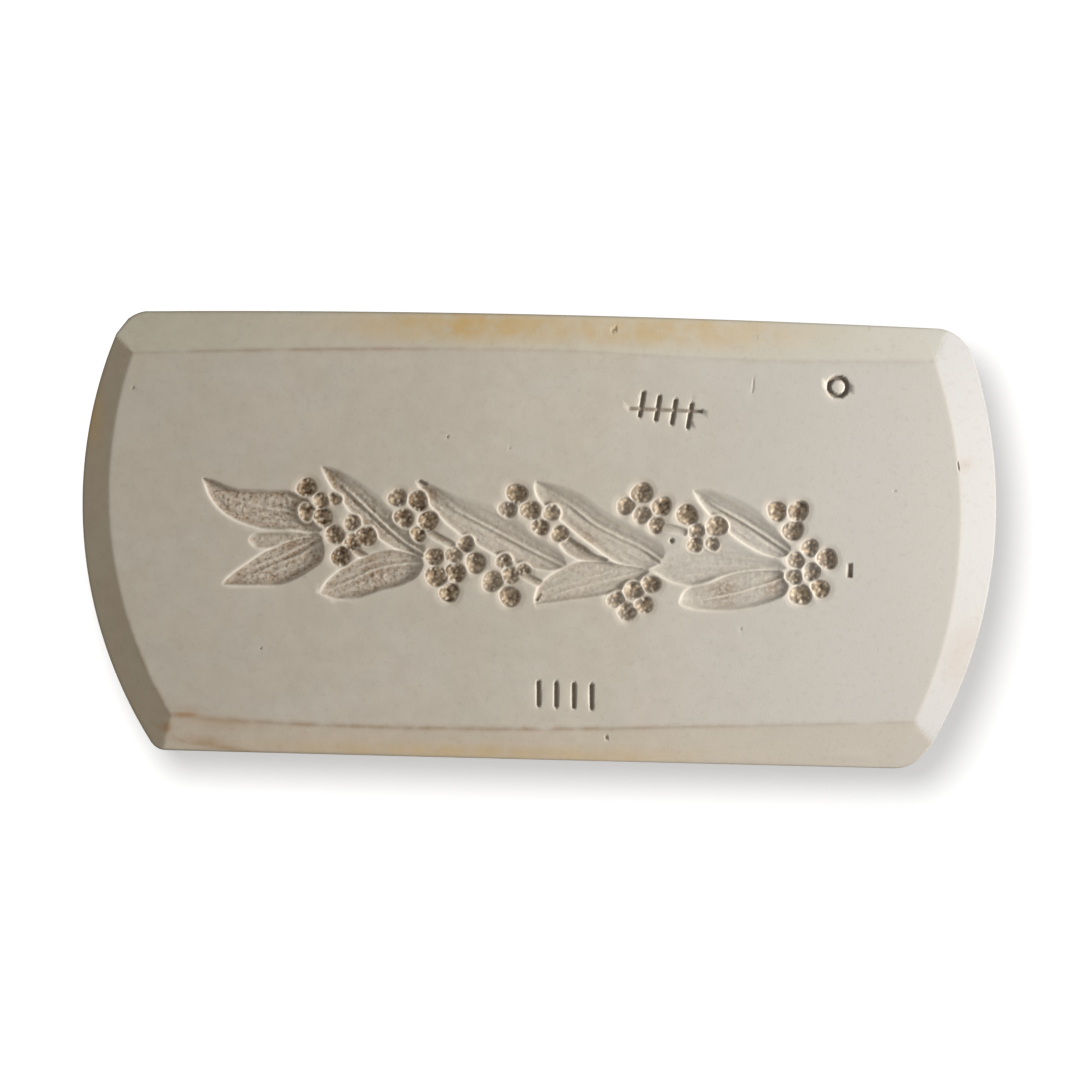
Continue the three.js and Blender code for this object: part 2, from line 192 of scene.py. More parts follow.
def lattice_lines():
    """The lines that columns and rows follow, from one edge to the other, and the steps between each two."""
    columns = [lambda y, e=e: e - end_edge(LEFT_END, y) for e in EDGE_STEPS]
    columns += [lambda y, c=c: c - held_crease(LEFT_END, LEFT_BEVEL, y) for c in CREASE_STEPS]
    columns += [lambda y: np.maximum(BAND["left"], CLEAR - held_crease(LEFT_END, LEFT_BEVEL, y))]
    columns += [lambda y: BAND["right"] + 0 * y]
    columns += [lambda y, c=c: held_crease(RIGHT_END, RIGHT_BEVEL, y) + c for c in CREASE_STEPS]
    columns += [lambda y, e=e: end_edge(RIGHT_END, y) - e for e in reversed(EDGE_STEPS)]
    rows = [lambda x, e=e: e - WIDTH / 2 + 0 * x for e in EDGE_STEPS]
    rows += [lambda x, c=c: c - WIDTH / 2 + side_width(LOWER_BEVEL, x) for c in CREASE_STEPS]
    rows += [lambda x: BAND["low"] + 0 * x, lambda x: BAND["high"] + 0 * x]
    rows += [lambda x, c=c: c + WIDTH / 2 - side_width(UPPER_BEVEL, x) for c in CREASE_STEPS]
    rows += [lambda x, e=e: upper_side(x) - e for e in reversed(EDGE_STEPS)]
    close = [1] * (len(EDGE_STEPS) - 1) + [2] + [1] * (len(CREASE_STEPS) - 1)
    column_steps = [*close, *COLUMN_CELLS, *close[::-1]]
    row_steps = [*close, *ROW_CELLS, *close[::-1]]
    return columns, column_steps, rows, row_steps


print(f"lattice: {len(lattice_lines()[0])} column lines and {len(lattice_lines()[2])} row lines")

# %% Solve the lattice
SETTLING_ROUNDS = 3


def stations(steps):
    """For each station along a row of lines: the line before it, and its share of the way to the next."""
    counts = np.array(steps) * FINE
    before = np.repeat(np.arange(len(counts)), counts)
    starts = np.repeat(np.cumsum(counts) - counts, counts)
    share = (np.arange(counts.sum()) - starts) / np.repeat(counts, counts)
    return np.append(before, len(counts) - 1), np.append(share, 1.0)


def between_lines(lines, steps, other):
    """Station i of each row lies at a + (b - a) * share, between the lines a and b on its two sides."""
    before, share = stations(steps)
    values = np.stack([line(other) for line in lines])
    each = np.arange(len(before))
    first = values[before, :, each].T
    last = values[before + 1, :, each].T
    return first + (last - first) * share


def make_lattice():
    """x follows the column lines at each y, and y the row lines at each x, so they are solved in turn."""
    columns, column_steps, rows, row_steps = lattice_lines()
    shape = (sum(row_steps) * FINE + 1, sum(column_steps) * FINE + 1)
    x = between_lines(columns, column_steps, np.zeros(shape))
    for _ in range(SETTLING_ROUNDS):
        y = between_lines(rows, row_steps, x.T).T
        x = between_lines(columns, column_steps, y)
    return x, y


plan_x, plan_y = make_lattice()
print(f"lattice: {plan_x.shape[0]} rows and {plan_x.shape[1]} columns of fine points")

# %% [markdown]
# Plaster is never dead flat. A little smooth noise, made by blending random values on a coarse grid,
# gives the face a soft unevenness and the pared bevels their long shallow scrape marks.

# %% Noise, ramps and soft turns
GRID = 256


def soft_noise(x, y, cell_x, cell_y, seed):
    """Random values at the corners of cells, blended with weights 3t^2 - 2t^3; the result runs 0 to 1."""
    grid = np.random.default_rng(seed).random((GRID + 1, GRID + 1))
    u, v = x / cell_x + (GRID + 1) / 2, y / cell_y + (GRID + 1) / 2
    i, j = np.floor(u).astype(int), np.floor(v).astype(int)
    s, t = u - i, v - j
    i, j = i % GRID, j % GRID
    s, t = s * s * (3 - 2 * s), t * t * (3 - 2 * t)
    low = grid[i, j] * (1 - s) + grid[i + 1, j] * s
    high = grid[i, j + 1] * (1 - s) + grid[i + 1, j + 1] * s
    return low * (1 - t) + high * t


def added_noise(rows, x, y):
    """The sum of soft noises. Each row holds a height, the cells' size along x and y, and a seed."""
    return sum(height * soft_noise(x, y, *cell, seed) for height, cell, seed in rows)


def ramp(value, zero_at, one_at):
    """(value - zero) / (one - zero), held between 0 and 1. It falls where one_at is the smaller."""
    return np.clip((value - zero_at) / (one_at - zero_at), 0, 1)


def soft_largest(a, b, turn):
    """The larger of a and b; where they differ by less than turn, a rounded passage joins them."""
    share = np.clip(0.5 + 0.5 * (a - b) / turn, 0, 1)
    return b + (a - b) * share + turn * share * (1 - share)


print(f"noise: a sample runs from {soft_noise(plan_x, plan_y, 4, 3, 2).min():.2f} upwards")

# %% [markdown]
# A bevel is a plane that starts at its crease, or a cone where the crease is an arc. Where two of them
# meet at a corner, the lower one wins, with a soft turn of a tenth of a millimetre, because a knife
# never leaves a perfectly sharp line. The outermost edge is worn round by handling.

# %% The bevels and the worn outer edge
# The noises are the face's own unevenness and the knife's scrape marks along the bevels.
FACE_NOISE = ((0.05, (17, 13), 1), (0.02, (4, 3), 2))
SCRAPE_NOISE = ((0.08, (22, 1.1), 3), (0.05, (6, 2.2), 4))
SCRAPED_FROM = 0.4
CREASE_TURN = 0.12
MITRE_TURN = 0.1
WORN_EDGE = 0.22


def bevel_drops(x, y):
    """How far each bevel lies below the face: the distance beyond its crease times its slope's tangent."""
    share = (x / BEVEL_REACH + 1) / 2
    drops = []
    for bevel, side in ((UPPER_BEVEL, 1), (LOWER_BEVEL, -1)):
        first, last = bevel["slopes"]
        slope = np.radians(first + (last - first) * share)
        drops.append((side * y - WIDTH / 2 + side_width(bevel, x)) * np.tan(slope))
    for bevel, side in ((LEFT_BEVEL, -1), (RIGHT_BEVEL, 1)):
        centre = LENGTH / 2 - bevel["width"] - bevel["radius"]
        beyond = np.hypot(np.maximum(side * x - centre, 0), y - bevel["rise"]) - bevel["radius"]
        drops.append(beyond * math.tan(math.radians(bevel["slope"])))
    return drops


def edge_distance(x, y):
    """Distance in from the outline: to the nearer long side, to the end arc, or to the corner's own arc."""
    distance = np.minimum(upper_side(x) - y, y + WIDTH / 2)
    for end in (LEFT_END, RIGHT_END):
        out = end["side"] * x
        arc_x = LENGTH / 2 - end["radius"]
        radius, corner_x, corner_y = corner_arc(end, y)
        to_end = end["radius"] - np.hypot(out - arc_x, y - END_RISE)
        distance = np.where(out > 0, np.minimum(distance, to_end), distance)
        turned = (y - corner_y) * (corner_x - arc_x) - (out - corner_x) * (corner_y - END_RISE)
        in_corner = (out > corner_x) & (turned * np.sign(y) > 0)
        distance = np.where(in_corner, radius - np.hypot(out - corner_x, y - corner_y), distance)
    return distance


def worn_drop(distance):
    """The outer edge is worn to a quarter round: r - sqrt(r^2 - (r - d)^2) within r of the outline."""
    inside = np.clip(WORN_EDGE - distance, 0, WORN_EDGE)
    return WORN_EDGE - np.sqrt(WORN_EDGE**2 - inside**2)


def pared_depth(x, y):
    """The face's own unevenness, the four bevels with their scrape marks, and the worn outer edge."""
    upper, lower, left, right = bevel_drops(x, y)
    sides = soft_largest(upper, lower, MITRE_TURN)
    bevels = soft_largest(sides, soft_largest(left, right, MITRE_TURN), MITRE_TURN)
    uneven, scrape = added_noise(FACE_NOISE, x, y), added_noise(SCRAPE_NOISE, x, y)
    slope_part = ramp(bevels, 0, SCRAPED_FROM)
    depth = soft_largest(bevels, np.zeros_like(x), CREASE_TURN)
    depth += uneven * (1 - slope_part) + scrape * slope_part
    return np.maximum(depth, 0) + worn_drop(edge_distance(x, y))


depth_map = pared_depth(plan_x, plan_y)
print(f"bevels: the outer edge lies {depth_map.max():.2f} mm below the face at most")

# %% [markdown]
# Each leaf is drawn by its midrib, a smooth curve through a few points from the stalk to the tip.
# A point of the plan belongs to the leaf by two numbers: how far along the midrib it lies, and how far
# to the left or right of it. From those come the depth of the blade, the steep cut at its margin and
# the fine raised line that prints as the midrib. On most leaves one margin is cut sharp, and the other
# rolls up softly to the face, which is what makes the printed leaves look turned.

# %% The leaves of the spray, as numbers
# The midrib's points are in mm, from the stalk to the tip. Each side has its half widths at the stalk
# end, at a quarter, the middle and three quarters of the length and at the tip, and the width of its wall.
DRAWING_MIDDLE = -0.4
drawn_y = plan_y - DRAWING_MIDDLE
LEAF_DEPTH = 1.1
LEAVES = (
    dict(rib=((-35.5, 0.6), (-40.3, 3.4), (-45.4, 4.1), (-50.7, 5.6), (-55.2, 8.6)), depth=0.95, ridge=0.12,
         left=(1.2, 3, 3.5, 2.75, 0.6), right=(1.5, 3.1, 2.8, 1.55, 0.5), walls=(0.9, 0.7)),
    dict(rib=((-35.4, -0.7), (-39, -0.9), (-43.1, -1.1), (-47.4, -1.2)), depth=0.55, ridge=0,
         left=(1, 1.6, 1.8, 1.6, 1.3), right=(0.8, 1.1, 1.2, 1.15, 1), walls=(0.6, 0.6)),
    dict(rib=((-35.6, -0.9), (-39.5, -3.1), (-43.4, -5), (-47.5, -6.8), (-51.6, -8.7)), depth=1, ridge=-0.2,
         left=(3, 3.7, 3.8, 2.2, 0.3), right=(1.2, 2.4, 2.4, 1.5, 0.5), walls=(1.1, 0.8)),
    dict(rib=((-18.2, -3.2), (-22.2, -0.8), (-26.7, 3), (-31.2, 7), (-35.8, 11)), depth=0.8, ridge=0.34,
         left=(1, 2, 2.5, 1.9, 0.5), right=(1.5, 2.8, 3, 2.3, 0.9), walls=(0.7, 3.4)),
    dict(rib=((-18.8, -4.4), (-22.6, -4.7), (-26.6, -5.6), (-30.7, -7.6), (-35.5, -9.7)), depth=0.9,
         ridge=0.15, left=(2, 3.5, 3.6, 2.9, 1), right=(1.5, 2.6, 2.7, 2.4, 0.9), walls=(1, 0.8)),
    dict(rib=((4.5, -4.4), (-1.2, -1.8), (-7.3, 1.3), (-13.8, 4.6), (-20.3, 9)), depth=0.75, ridge=0.2,
         left=(1.2, 3.1, 3.5, 2.6, 0.5), right=(2, 2.8, 3.75, 2.1, 0.8), walls=(0.7, 3.8)),
    dict(rib=((11.5, -3.1), (8.5, -2.4), (6, -1), (3.7, 1.1)), depth=0.6, ridge=0,
         left=(0.3, 1, 1.6, 1.8, 1.3), right=(0.3, 0.4, 0.9, 0.7, 0.5), walls=(0.6, 0.6)),
    dict(rib=((20.5, -3.2), (16.6, -0.8), (12.8, 0.9), (9.2, 2.7), (5.3, 5.5), (2.5, 7.3), (-0.7, 9.5)),
         depth=0.75, ridge=0.18,
         left=(2.2, 4, 3.2, 2.9, 1.9), right=(2.6, 2.8, 2.8, 2.6, 0.5), walls=(0.7, 3.3)),
    dict(rib=((18.4, -4.4), (13.8, -5.8), (9.3, -7.1), (4.6, -8.4), (-0.3, -10.6)), depth=0.75, ridge=0.06,
         left=(0.8, 2.2, 2.05, 1.5, 0.2), right=(0.5, 2.4, 4.2, 3.6, 2), walls=(0.8, 0.8)),
    dict(rib=((41.4, -1.2), (37.4, 1.3), (33.4, 3.8), (29.3, 5.9), (25.1, 8.6)), depth=0.75, ridge=0.28,
         left=(1.6, 2.8, 2.9, 1.8, 0.4), right=(1.2, 2.2, 2.9, 2.7, 1), walls=(0.7, 3.2)),
    dict(rib=((40.8, -3.7), (35.2, -3.1), (29.5, -3), (23.9, -3.6), (18.2, -4.6)), depth=0.6, ridge=0.04,
         left=(0.5, 1.2, 2.6, 3.4, 0.6), right=(0.8, 2.5, 3.9, 2.95, 1.6), walls=(0.9, 3.6)),
    dict(rib=((41, -5.1), (37.6, -6.4), (33.7, -7.6), (28.6, -9), (23.4, -9.9)), depth=0.75, ridge=0.16,
         left=(2.6, 3, 2.8, 1.95, 0.8), right=(1.5, 2.8, 3.3, 2.5, 2.2), walls=(1.1, 0.8)),
)
print(f"leaves: {len(LEAVES)} drawn, the deepest {LEAF_DEPTH * max(leaf['depth'] for leaf in LEAVES):.2f} mm")

# %% Where a point lies along a midrib, and how wide the blade is there
RIB_SAMPLES = 90
LEAF_ROUNDING = 0.12


def smooth_line(points, count):
    """A smooth line through points of the plan, with its samples spread evenly along it."""
    points = np.array(points, float)
    reach = np.append(0, np.cumsum(np.hypot(*np.diff(points, axis=0).T)))
    return smooth_curve(reach, points, np.linspace(0, reach[-1], count))


def along_line(line, x, y):
    """For each point: its share of the way along the line, and its signed distance to the left of it."""
    tangent = np.gradient(line, axis=0)
    step = np.hypot(*tangent.T)
    tangent = tangent / step[:, None]
    near = np.argmin((x[:, None] - line[:, 0]) ** 2 + (y[:, None] - line[:, 1]) ** 2, axis=1)
    off_x, off_y = x - line[near, 0], y - line[near, 1]
    forward = off_x * tangent[near, 0] + off_y * tangent[near, 1]
    share = (near + forward / step[near]) / (len(line) - 1)
    return share, tangent[near, 0] * off_y - tangent[near, 1] * off_x


def rounded_end(share):
    """sqrt(m (2 - m)): 0 at the very end, and 1 from LEAF_ROUNDING of the length onwards."""
    m = ramp(share, 0, LEAF_ROUNDING)
    return np.sqrt(m * (2 - m))


def blade_half_width(share, widths):
    """A smooth curve through the five widths, rounded off at both ends."""
    share = np.clip(share, 0, 1)
    curve = smooth_curve(np.linspace(0, 1, len(widths)), widths, share.ravel()).reshape(share.shape)
    return curve * rounded_end(share) * rounded_end(1 - share)


long_rib = smooth_line(LEAVES[-1]["rib"], RIB_SAMPLES)
print(f"midribs: the last one runs from {long_rib[0].round(1)} to {long_rib[-1].round(1)}")

# %% Cut the leaves
# A wall wider than ROLLED_FROM isn't cut steep but rolls up from the midrib. RIB_FADE is the share of the
# blade where the midrib starts to fade, and where it is gone.
LEAF_RAMP = 0.15
LEAF_END_DEPTH = 0.3
LEAST_WIDTH = 0.1
ROLLED_FROM = 1.5
ROLL_POWER = 1.15
RIB_HALF_WIDTH = 0.24
RIB_GROOVE_OFF = 0.55
RIB_GROOVE_SHARE = 0.25
RIB_FADE = (0.63, 0.93)
VEIN_DEPTH = 0.16
VEIN_CELL = (3.5, 0.42)
VEIN_SEED = 9


def midrib(left, share):
    """A fine ridge between two shallow grooves: bells exp(-(d / w)^2) at 0 and RIB_GROOVE_OFF each side."""
    ridge = np.exp(-((left / RIB_HALF_WIDTH) ** 2))
    grooves = np.exp(-(((np.abs(left) - RIB_GROOVE_OFF) / RIB_HALF_WIDTH) ** 2))
    return (ridge - RIB_GROOVE_SHARE * grooves) * ramp(share, RIB_FADE[1], RIB_FADE[0])


def leaf_depth(leaf, x, y):
    """Depth = (D * end ramp + veins - midrib) * margin ramp, where the veins run the length of the blade.
    The margin ramp is 1 - (1 - m)^2 at a steep wall and m^ROLL_POWER at a rolled one, for the share m of
    the wall's width that the point lies in from the margin."""
    line = smooth_line(leaf["rib"], RIB_SAMPLES)
    share, left = along_line(line, x, y)
    width = np.where(left > 0, blade_half_width(share, leaf["left"]), blade_half_width(share, leaf["right"]))
    wall = np.where(left > 0, *leaf["walls"])
    inward = ramp(width - np.abs(left), 0, np.minimum(wall, np.maximum(width, LEAST_WIDTH)))
    margin = np.where(wall > ROLLED_FROM, inward**ROLL_POWER, 1 - (1 - inward) ** 2)
    ends = ramp(np.minimum(share, 1 - share), 0, LEAF_RAMP)
    ends = LEAF_END_DEPTH + (1 - LEAF_END_DEPTH) * ends * (2 - ends)
    length = np.hypot(*(line[0] - line[-1]))
    veins = VEIN_DEPTH * (soft_noise(share * length, left + line[0, 1], *VEIN_CELL, VEIN_SEED) - 0.5)
    depth = (LEAF_DEPTH * leaf["depth"] * ends + veins - leaf["ridge"] * midrib(left, share)) * margin
    return np.where((share > 0) & (share < 1), np.maximum(depth, 0), 0)


def cut_leaves(x, y):
    """Every leaf is worked out only near its own midrib, and the deepest cut at each point stays."""
    depth = np.zeros_like(x)
    for leaf in LEAVES:
        rib = np.array(leaf["rib"])
        pad = max(leaf["left"] + leaf["right"]) + 0.5
        (x0, y0), (x1, y1) = rib.min(axis=0) - pad, rib.max(axis=0) + pad
        near = (x > x0) & (x < x1) & (y > y0) & (y < y1)
        depth[near] = np.maximum(depth[near], leaf_depth(leaf, x[near], y[near]))
    return depth


leaf_map = cut_leaves(plan_x, drawn_y)
print(f"leaves: {len(LEAVES)} cut, {leaf_map.max():.2f} mm deep at most")

# %% [markdown]
# The berries are round-bottomed pits, deeper than the leaves, and the floor of each is set with small
# knobs, which print as the dimples of the fruit. They stand in bunches between the leaves. Each pit has
# a lip, where it cuts into a leaf beside it, and a shallow pool around it, where the tool pressed the
# plaster down. Dirt stays in some more than in others, so a few are listed as pale and a few as dark.

# %% The berries, each an x, a y and a radius in mm
BUNCHES = (
    ((-38.2, 7.5, 1.6), (-35.8, 5.4, 1.35), (-33.5, 5.8, 1.1), (-38.1, 3.5, 1.5), (-35.4, 2.7, 1.6)),
    ((-33.4, -0.1, 1.55), (-30.6, 2, 1.35), (-28.3, -0.2, 1.7), (-30.5, -1.3, 1.45), (-32.3, -3.6, 1.65)),
    ((-23.3, 6.2, 1.5), (-19.9, 5.8, 1.65), (-22.2, 2.9, 1.6), (-18.2, 2.5, 1.7), (-19.7, 0.4, 1.3)),
    ((-17, -3.3, 1.5), (-13.9, -2.9, 1.4), (-11.9, -1.1, 1.4), (-10.2, -4.1, 1.7), (-16.6, -6.5, 1.75),
     (-13.5, -5.8, 1.65), (-14.4, -9.1, 1.6)),
    ((-5.6, -3.7, 1.3), (-7.4, -7.1, 1.7), (-4.4, -6, 1.45), (-2.4, -5.1, 1.15), (-4.5, -9.5, 1.7)),
    ((-3.8, 7.4, 1.7), (-5.2, 4.8, 1.45), (-1.5, 4.7, 1.6), (2, 4.4, 1.4), (0.2, 2, 1.4), (3.4, 1, 1.4)),
    ((16.7, 8, 1.75), (14.1, 5.8, 1.45), (20, 5.9, 1.6), (16.8, 4.4, 1.45), (19.2, 2.8, 1.35)),
    ((24.2, 4.6, 1.75), (29.1, 2.9, 1.75), (25.8, 2, 1.3), (25.6, -0.2, 1.3), (28.4, 0, 1.15)),
    ((12.9, -9.6, 1.4), (15.7, -8, 1.6), (18.6, -6.9, 1.5), (14.7, -11.4, 1.55), (17.5, -10.3, 1.45)),
    ((38.9, 5.6, 1.6), (42.4, 5.7, 1.7), (41.6, 2.5, 1.7)),
    ((44.4, -0.3, 1.45), (47.3, -2, 1.7), (42.2, -2.4, 1.4), (44.8, -4.2, 1.5), (41.9, -5.1, 1.35),
     (46.3, -6.9, 1.5), (43.1, -8, 1.75)),
)
PALE_BERRIES = (
    (-30.6, 2), (-13.9, -2.9), (-7.4, -7.1), (-5.2, 4.8), (2, 4.4), (14.1, 5.8), (16.8, 4.4), (12.9, -9.6),
    (15.7, -8), (14.7, -11.4), (29.1, 2.9), (25.8, 2), (28.4, 0), (44.4, -0.3), (42.2, -2.4), (44.8, -4.2),
    (41.9, -5.1),
)
DARK_BERRIES = (
    (-38.2, 7.5), (-35.4, 2.7), (-19.9, 5.8), (-18.2, 2.5), (-13.5, -5.8), (-14.4, -9.1), (-28.3, -0.2),
    (20, 5.9), (42.4, 5.7), (46.3, -6.9),
)
print(f"berries: {sum(map(len, BUNCHES))} in {len(BUNCHES)} bunches")

# %% The knobs, the dirt and the outline of one berry
# A knob strays by about KNOB_STRAY mm and stays within KNOB_ZONE of the pit's radius. SOIL_ALONG holds
# places along the slab and a factor at each of them. LUMPS are shares of the radius.
KNOB_SIZE = 0.3
KNOB_SPACING = 0.68
KNOB_STRAY = 0.1
KNOB_ZONE = 0.86
KNOB_HEIGHTS = (0.45, 1.15)
KNOB_SIZES = (0.8, 1.25)
SOIL = {"pale": 0.6, "dark": 1.0, "least": 0.72, "most": 0.95}
SOIL_ALONG = ((-35, 0, 50), (1, 0.85, 0.8))
LUMPS = (0.05, 0.04)
BERRY_SEED = 11


def knob_places(radius, dice):
    """Knobs in rows like the cells of a honeycomb, turned by chance, and none of them quite in place.
    Each row of the result holds a knob's x and y from the middle of the berry, its height and its size."""
    steps = np.arange(-3, 4) * KNOB_SPACING
    u, v = np.meshgrid(steps, steps * math.sqrt(3) / 2)
    u[::2] += KNOB_SPACING / 2
    turn = dice.random() * math.pi
    places = np.column_stack([(u * math.cos(turn) - v * math.sin(turn)).ravel(),
                              (u * math.sin(turn) + v * math.cos(turn)).ravel()])
    places += dice.normal(0, KNOB_STRAY, places.shape)
    places = places[np.hypot(*places.T) < KNOB_ZONE * radius]
    heights = dice.uniform(*KNOB_HEIGHTS, len(places))
    return np.column_stack([places, heights, KNOB_SIZE * dice.uniform(*KNOB_SIZES, len(places))])


def berry_soil(x, y, dice):
    """How dirty a berry is, 0 to 1: by chance, less so towards the right, and much less in the pale ones."""
    if (x, y) in PALE_BERRIES:
        level = SOIL["pale"]
    elif (x, y) in DARK_BERRIES:
        level = SOIL["dark"]
    else:
        level = dice.uniform(SOIL["least"], SOIL["most"])
    return level * float(np.interp(x, *SOIL_ALONG))


def lumpy_radius(u, v, radius, dice):
    """A hand-cut pit is no true circle: r * (1 + a sin(2 t + p) + b sin(3 t + q)) at the angle t."""
    angle = np.arctan2(v, u)
    p, q = dice.random(2) * 2 * math.pi
    return radius * (1 + LUMPS[0] * np.sin(2 * angle + p) + LUMPS[1] * np.sin(3 * angle + q))


sample_knobs = len(knob_places(BUNCHES[0][0][2], np.random.default_rng(BERRY_SEED)))
print(f"knobs: {sample_knobs} fit into the first berry")

# %% Cut the berries
BERRY_DEPTH = 0.85
BOWL_POWER = 0.7
BERRY_LIP = 0.1
BERRY_RIM = 0.4
RIM_SHARE = 0.8
POOL_REACH = 1.0
POOL_DEPTH = 0.1
KNOB_HEIGHT = 0.36
# Only points within BERRY_BOX radii of a berry, and POOL_REACH more, are looked at. A larger KNOB_FADE
# keeps the knobs full up to nearer its rim. GLOW is how much paler a berry's knobs may be, by chance.
# GLOW_ALONG is like SOIL_ALONG.
BERRY_BOX = 1.1
KNOB_FADE = 3
GLOW = (0.75, 1.25)
GLOW_ALONG = ((-40, 0), (0.8, 1.1))


def cut_berries(x, y):
    """Depth = D * (1 - (d / R)^2)^BOWL_POWER inside each berry, where R is its lumpy radius with the lip,
    less a bell for every knob of its floor. The other four results run from 0 to about 1: how dirty a
    berry is, its knobs, where it takes the place of a leaf, and how near a point is to a berry."""
    dice = np.random.default_rng(BERRY_SEED)
    depth, dirt, knobs, cover, halo = (np.zeros_like(x) for _ in range(5))
    for berry_x, berry_y, radius in (berry for bunch in BUNCHES for berry in bunch):
        reach = BERRY_BOX * radius + POOL_REACH
        near = (np.abs(x - berry_x) < reach) & (np.abs(y - berry_y) < reach)
        u, v = x[near] - berry_x, y[near] - berry_y
        beyond = np.hypot(u, v) - lumpy_radius(u, v, radius + BERRY_LIP, dice)
        away = np.maximum(1 + beyond / (radius + BERRY_LIP), 0) ** 2
        bowl = BERRY_DEPTH * radius * np.clip(1 - away, 0, 1) ** BOWL_POWER
        bumps = np.zeros_like(u)
        for a, b, height, size in knob_places(radius, dice):
            bumps += height * np.exp(-((u - a) ** 2 + (v - b) ** 2) / size**2)
        bumps = bumps * np.clip((1 - away) * KNOB_FADE, 0, 1)
        pit = np.where(away < 1, bowl - KNOB_HEIGHT * bumps, 0)
        deeper = pit > depth[near]
        depth[near] = np.where(deeper, pit, depth[near])
        dirt[near] = np.where(deeper, berry_soil(berry_x, berry_y, dice), dirt[near])
        glow = dice.uniform(*GLOW) * float(np.interp(berry_x, *GLOW_ALONG))
        knobs[near] = np.where(deeper, bumps * glow, knobs[near])
        cover[near] = np.maximum(cover[near], ramp(beyond, BERRY_RIM, 0))
        halo[near] = np.maximum(halo[near], ramp(beyond, POOL_REACH, 0))
    return depth, dirt, knobs, cover, halo


berry_map, berry_dirt, knob_map, cover_map, halo_map = cut_berries(plan_x, drawn_y)
print(f"berries: cut {berry_map.max():.2f} mm deep at most")

# %% [markdown]
# Between the bunches lie short bits of stalk, cut as round grooves. The face also carries marks that a
# workshop leaves: a square nick beside the stalk, a few pinholes from air bubbles, and tally strokes
# and a ring pressed into the plaster to count castings.

# %% Stalks
STALKS = (
    ((-18.4, 0.9), (-16.5, -0.1), (-14.2, -1.3)),
    ((-2.6, -5.8), (-0.8, -6.7), (0.9, -7.5)),
    ((20.2, 2.5), (22, 2.3), (23.8, 1.8)),
    ((-30.4, -2), (-29.4, -3), (-28.2, -3.7)),
)
STALK_RADIUS = 0.65
STALK_DEPTH = 0.45


def groove(x, y, start, end, half_width, depth, roundness=0.5):
    """A straight groove with round ends: depth * (1 - (d / w)^2)^roundness at distance d from its line."""
    (ax, ay), (bx, by) = start, end
    span = np.hypot(bx - ax, by - ay)
    share = np.clip(((x - ax) * (bx - ax) + (y - ay) * (by - ay)) / span**2, 0, 1)
    off = np.hypot(x - ax - share * (bx - ax), y - ay - share * (by - ay)) / half_width
    return depth * np.clip(1 - off * off, 0, 1) ** roundness


def cut_stalks(x, y):
    """Each stalk is a chain of round grooves through its points."""
    depth = np.zeros_like(x)
    for stalk in STALKS:
        for start, end in zip(stalk, stalk[1:]):
            depth = np.maximum(depth, groove(x, y, start, end, STALK_RADIUS, STALK_DEPTH))
    return depth


stalk_map = cut_stalks(plan_x, drawn_y)
print(f"stalks: {len(STALKS)} cut, {stalk_map.max():.2f} mm deep at most")

# %% Nicks, pinholes, tally strokes and a ring
# A dent is a short groove, and a pinhole an x, a y and a radius in mm.
DENTS = (
    dict(start=(-19.6, 8.9), end=(-18.7, 8.5), half_width=0.36, depth=0.6),
    dict(start=(0.0, -9.9), end=(0.6, -9.0), half_width=0.34, depth=0.8),
    dict(start=(68.5, 13.2), end=(68.3, 14.2), half_width=0.2, depth=0.2),
    dict(start=(11.3, 34.6), end=(11.8, 34.8), half_width=0.3, depth=0.3),
    dict(start=(34.4, 24.9), end=(34.6, 27.2), half_width=0.16, depth=0.12),
)
PINHOLES = (
    (-15.3, 16.4, 0.24), (-5.1, 14.8, 0.15), (-67, 23.1, 0.24),
    (21.8, 0.3, 0.5), (12, -32.2, 0.35), (-45, -19, 0.2), (33.5, -13.8, 0.2), (58.2, 9.4, 0.22),
)
NICK = {"at": (51.1, -3.8), "width": 1.0, "length": 2.5, "depth": 0.5, "wall": 0.35}
STROKES = (
    dict(at=(20.3, 21.7), turn=-12, count=4, spacing=2.7, length=3.7, crossed=True),
    dict(at=(5.0, -25.4), turn=-2, count=4, spacing=2.9, length=3.6, crossed=False),
)
STROKE_HALF_WIDTH = 0.4
STROKE_DEPTH = 0.7
RING = {"at": (48.4, 26.2), "radius": 1.5, "half_width": 0.38, "depth": 0.8}
STROKE_LEAN = 0.12
CROSSING_OVERHANG = 0.3
CROSSING_RISE = 0.3
CROSSING_SHARE = 0.9
PINHOLE_SHAPE = 1.2
STROKE_ROUNDNESS = 0.6
RING_ROUNDNESS = 0.4


def tally(x, y, at, turn, count, spacing, length, crossed):
    """A row of upright strokes, turned as a whole; a crossed row has one more stroke laid across it."""
    angle = math.radians(turn)
    u = (x - at[0]) * math.cos(angle) + (y - at[1]) * math.sin(angle)
    v = (y - at[1]) * math.cos(angle) - (x - at[0]) * math.sin(angle)
    strokes = []
    for number in range(count):
        place = (number - (count - 1) / 2) * spacing
        strokes.append(((place + STROKE_LEAN, -length / 2), (place - STROKE_LEAN, length / 2), 1))
    if crossed:
        reach, rise = count * spacing / 2 + CROSSING_OVERHANG, CROSSING_RISE * length
        strokes.append(((-reach, -rise), (reach, rise), CROSSING_SHARE))
    cuts = [groove(u, v, start, end, STROKE_HALF_WIDTH * share, STROKE_DEPTH * share, STROKE_ROUNDNESS)
            for start, end, share in strokes]
    return np.maximum.reduce(cuts)


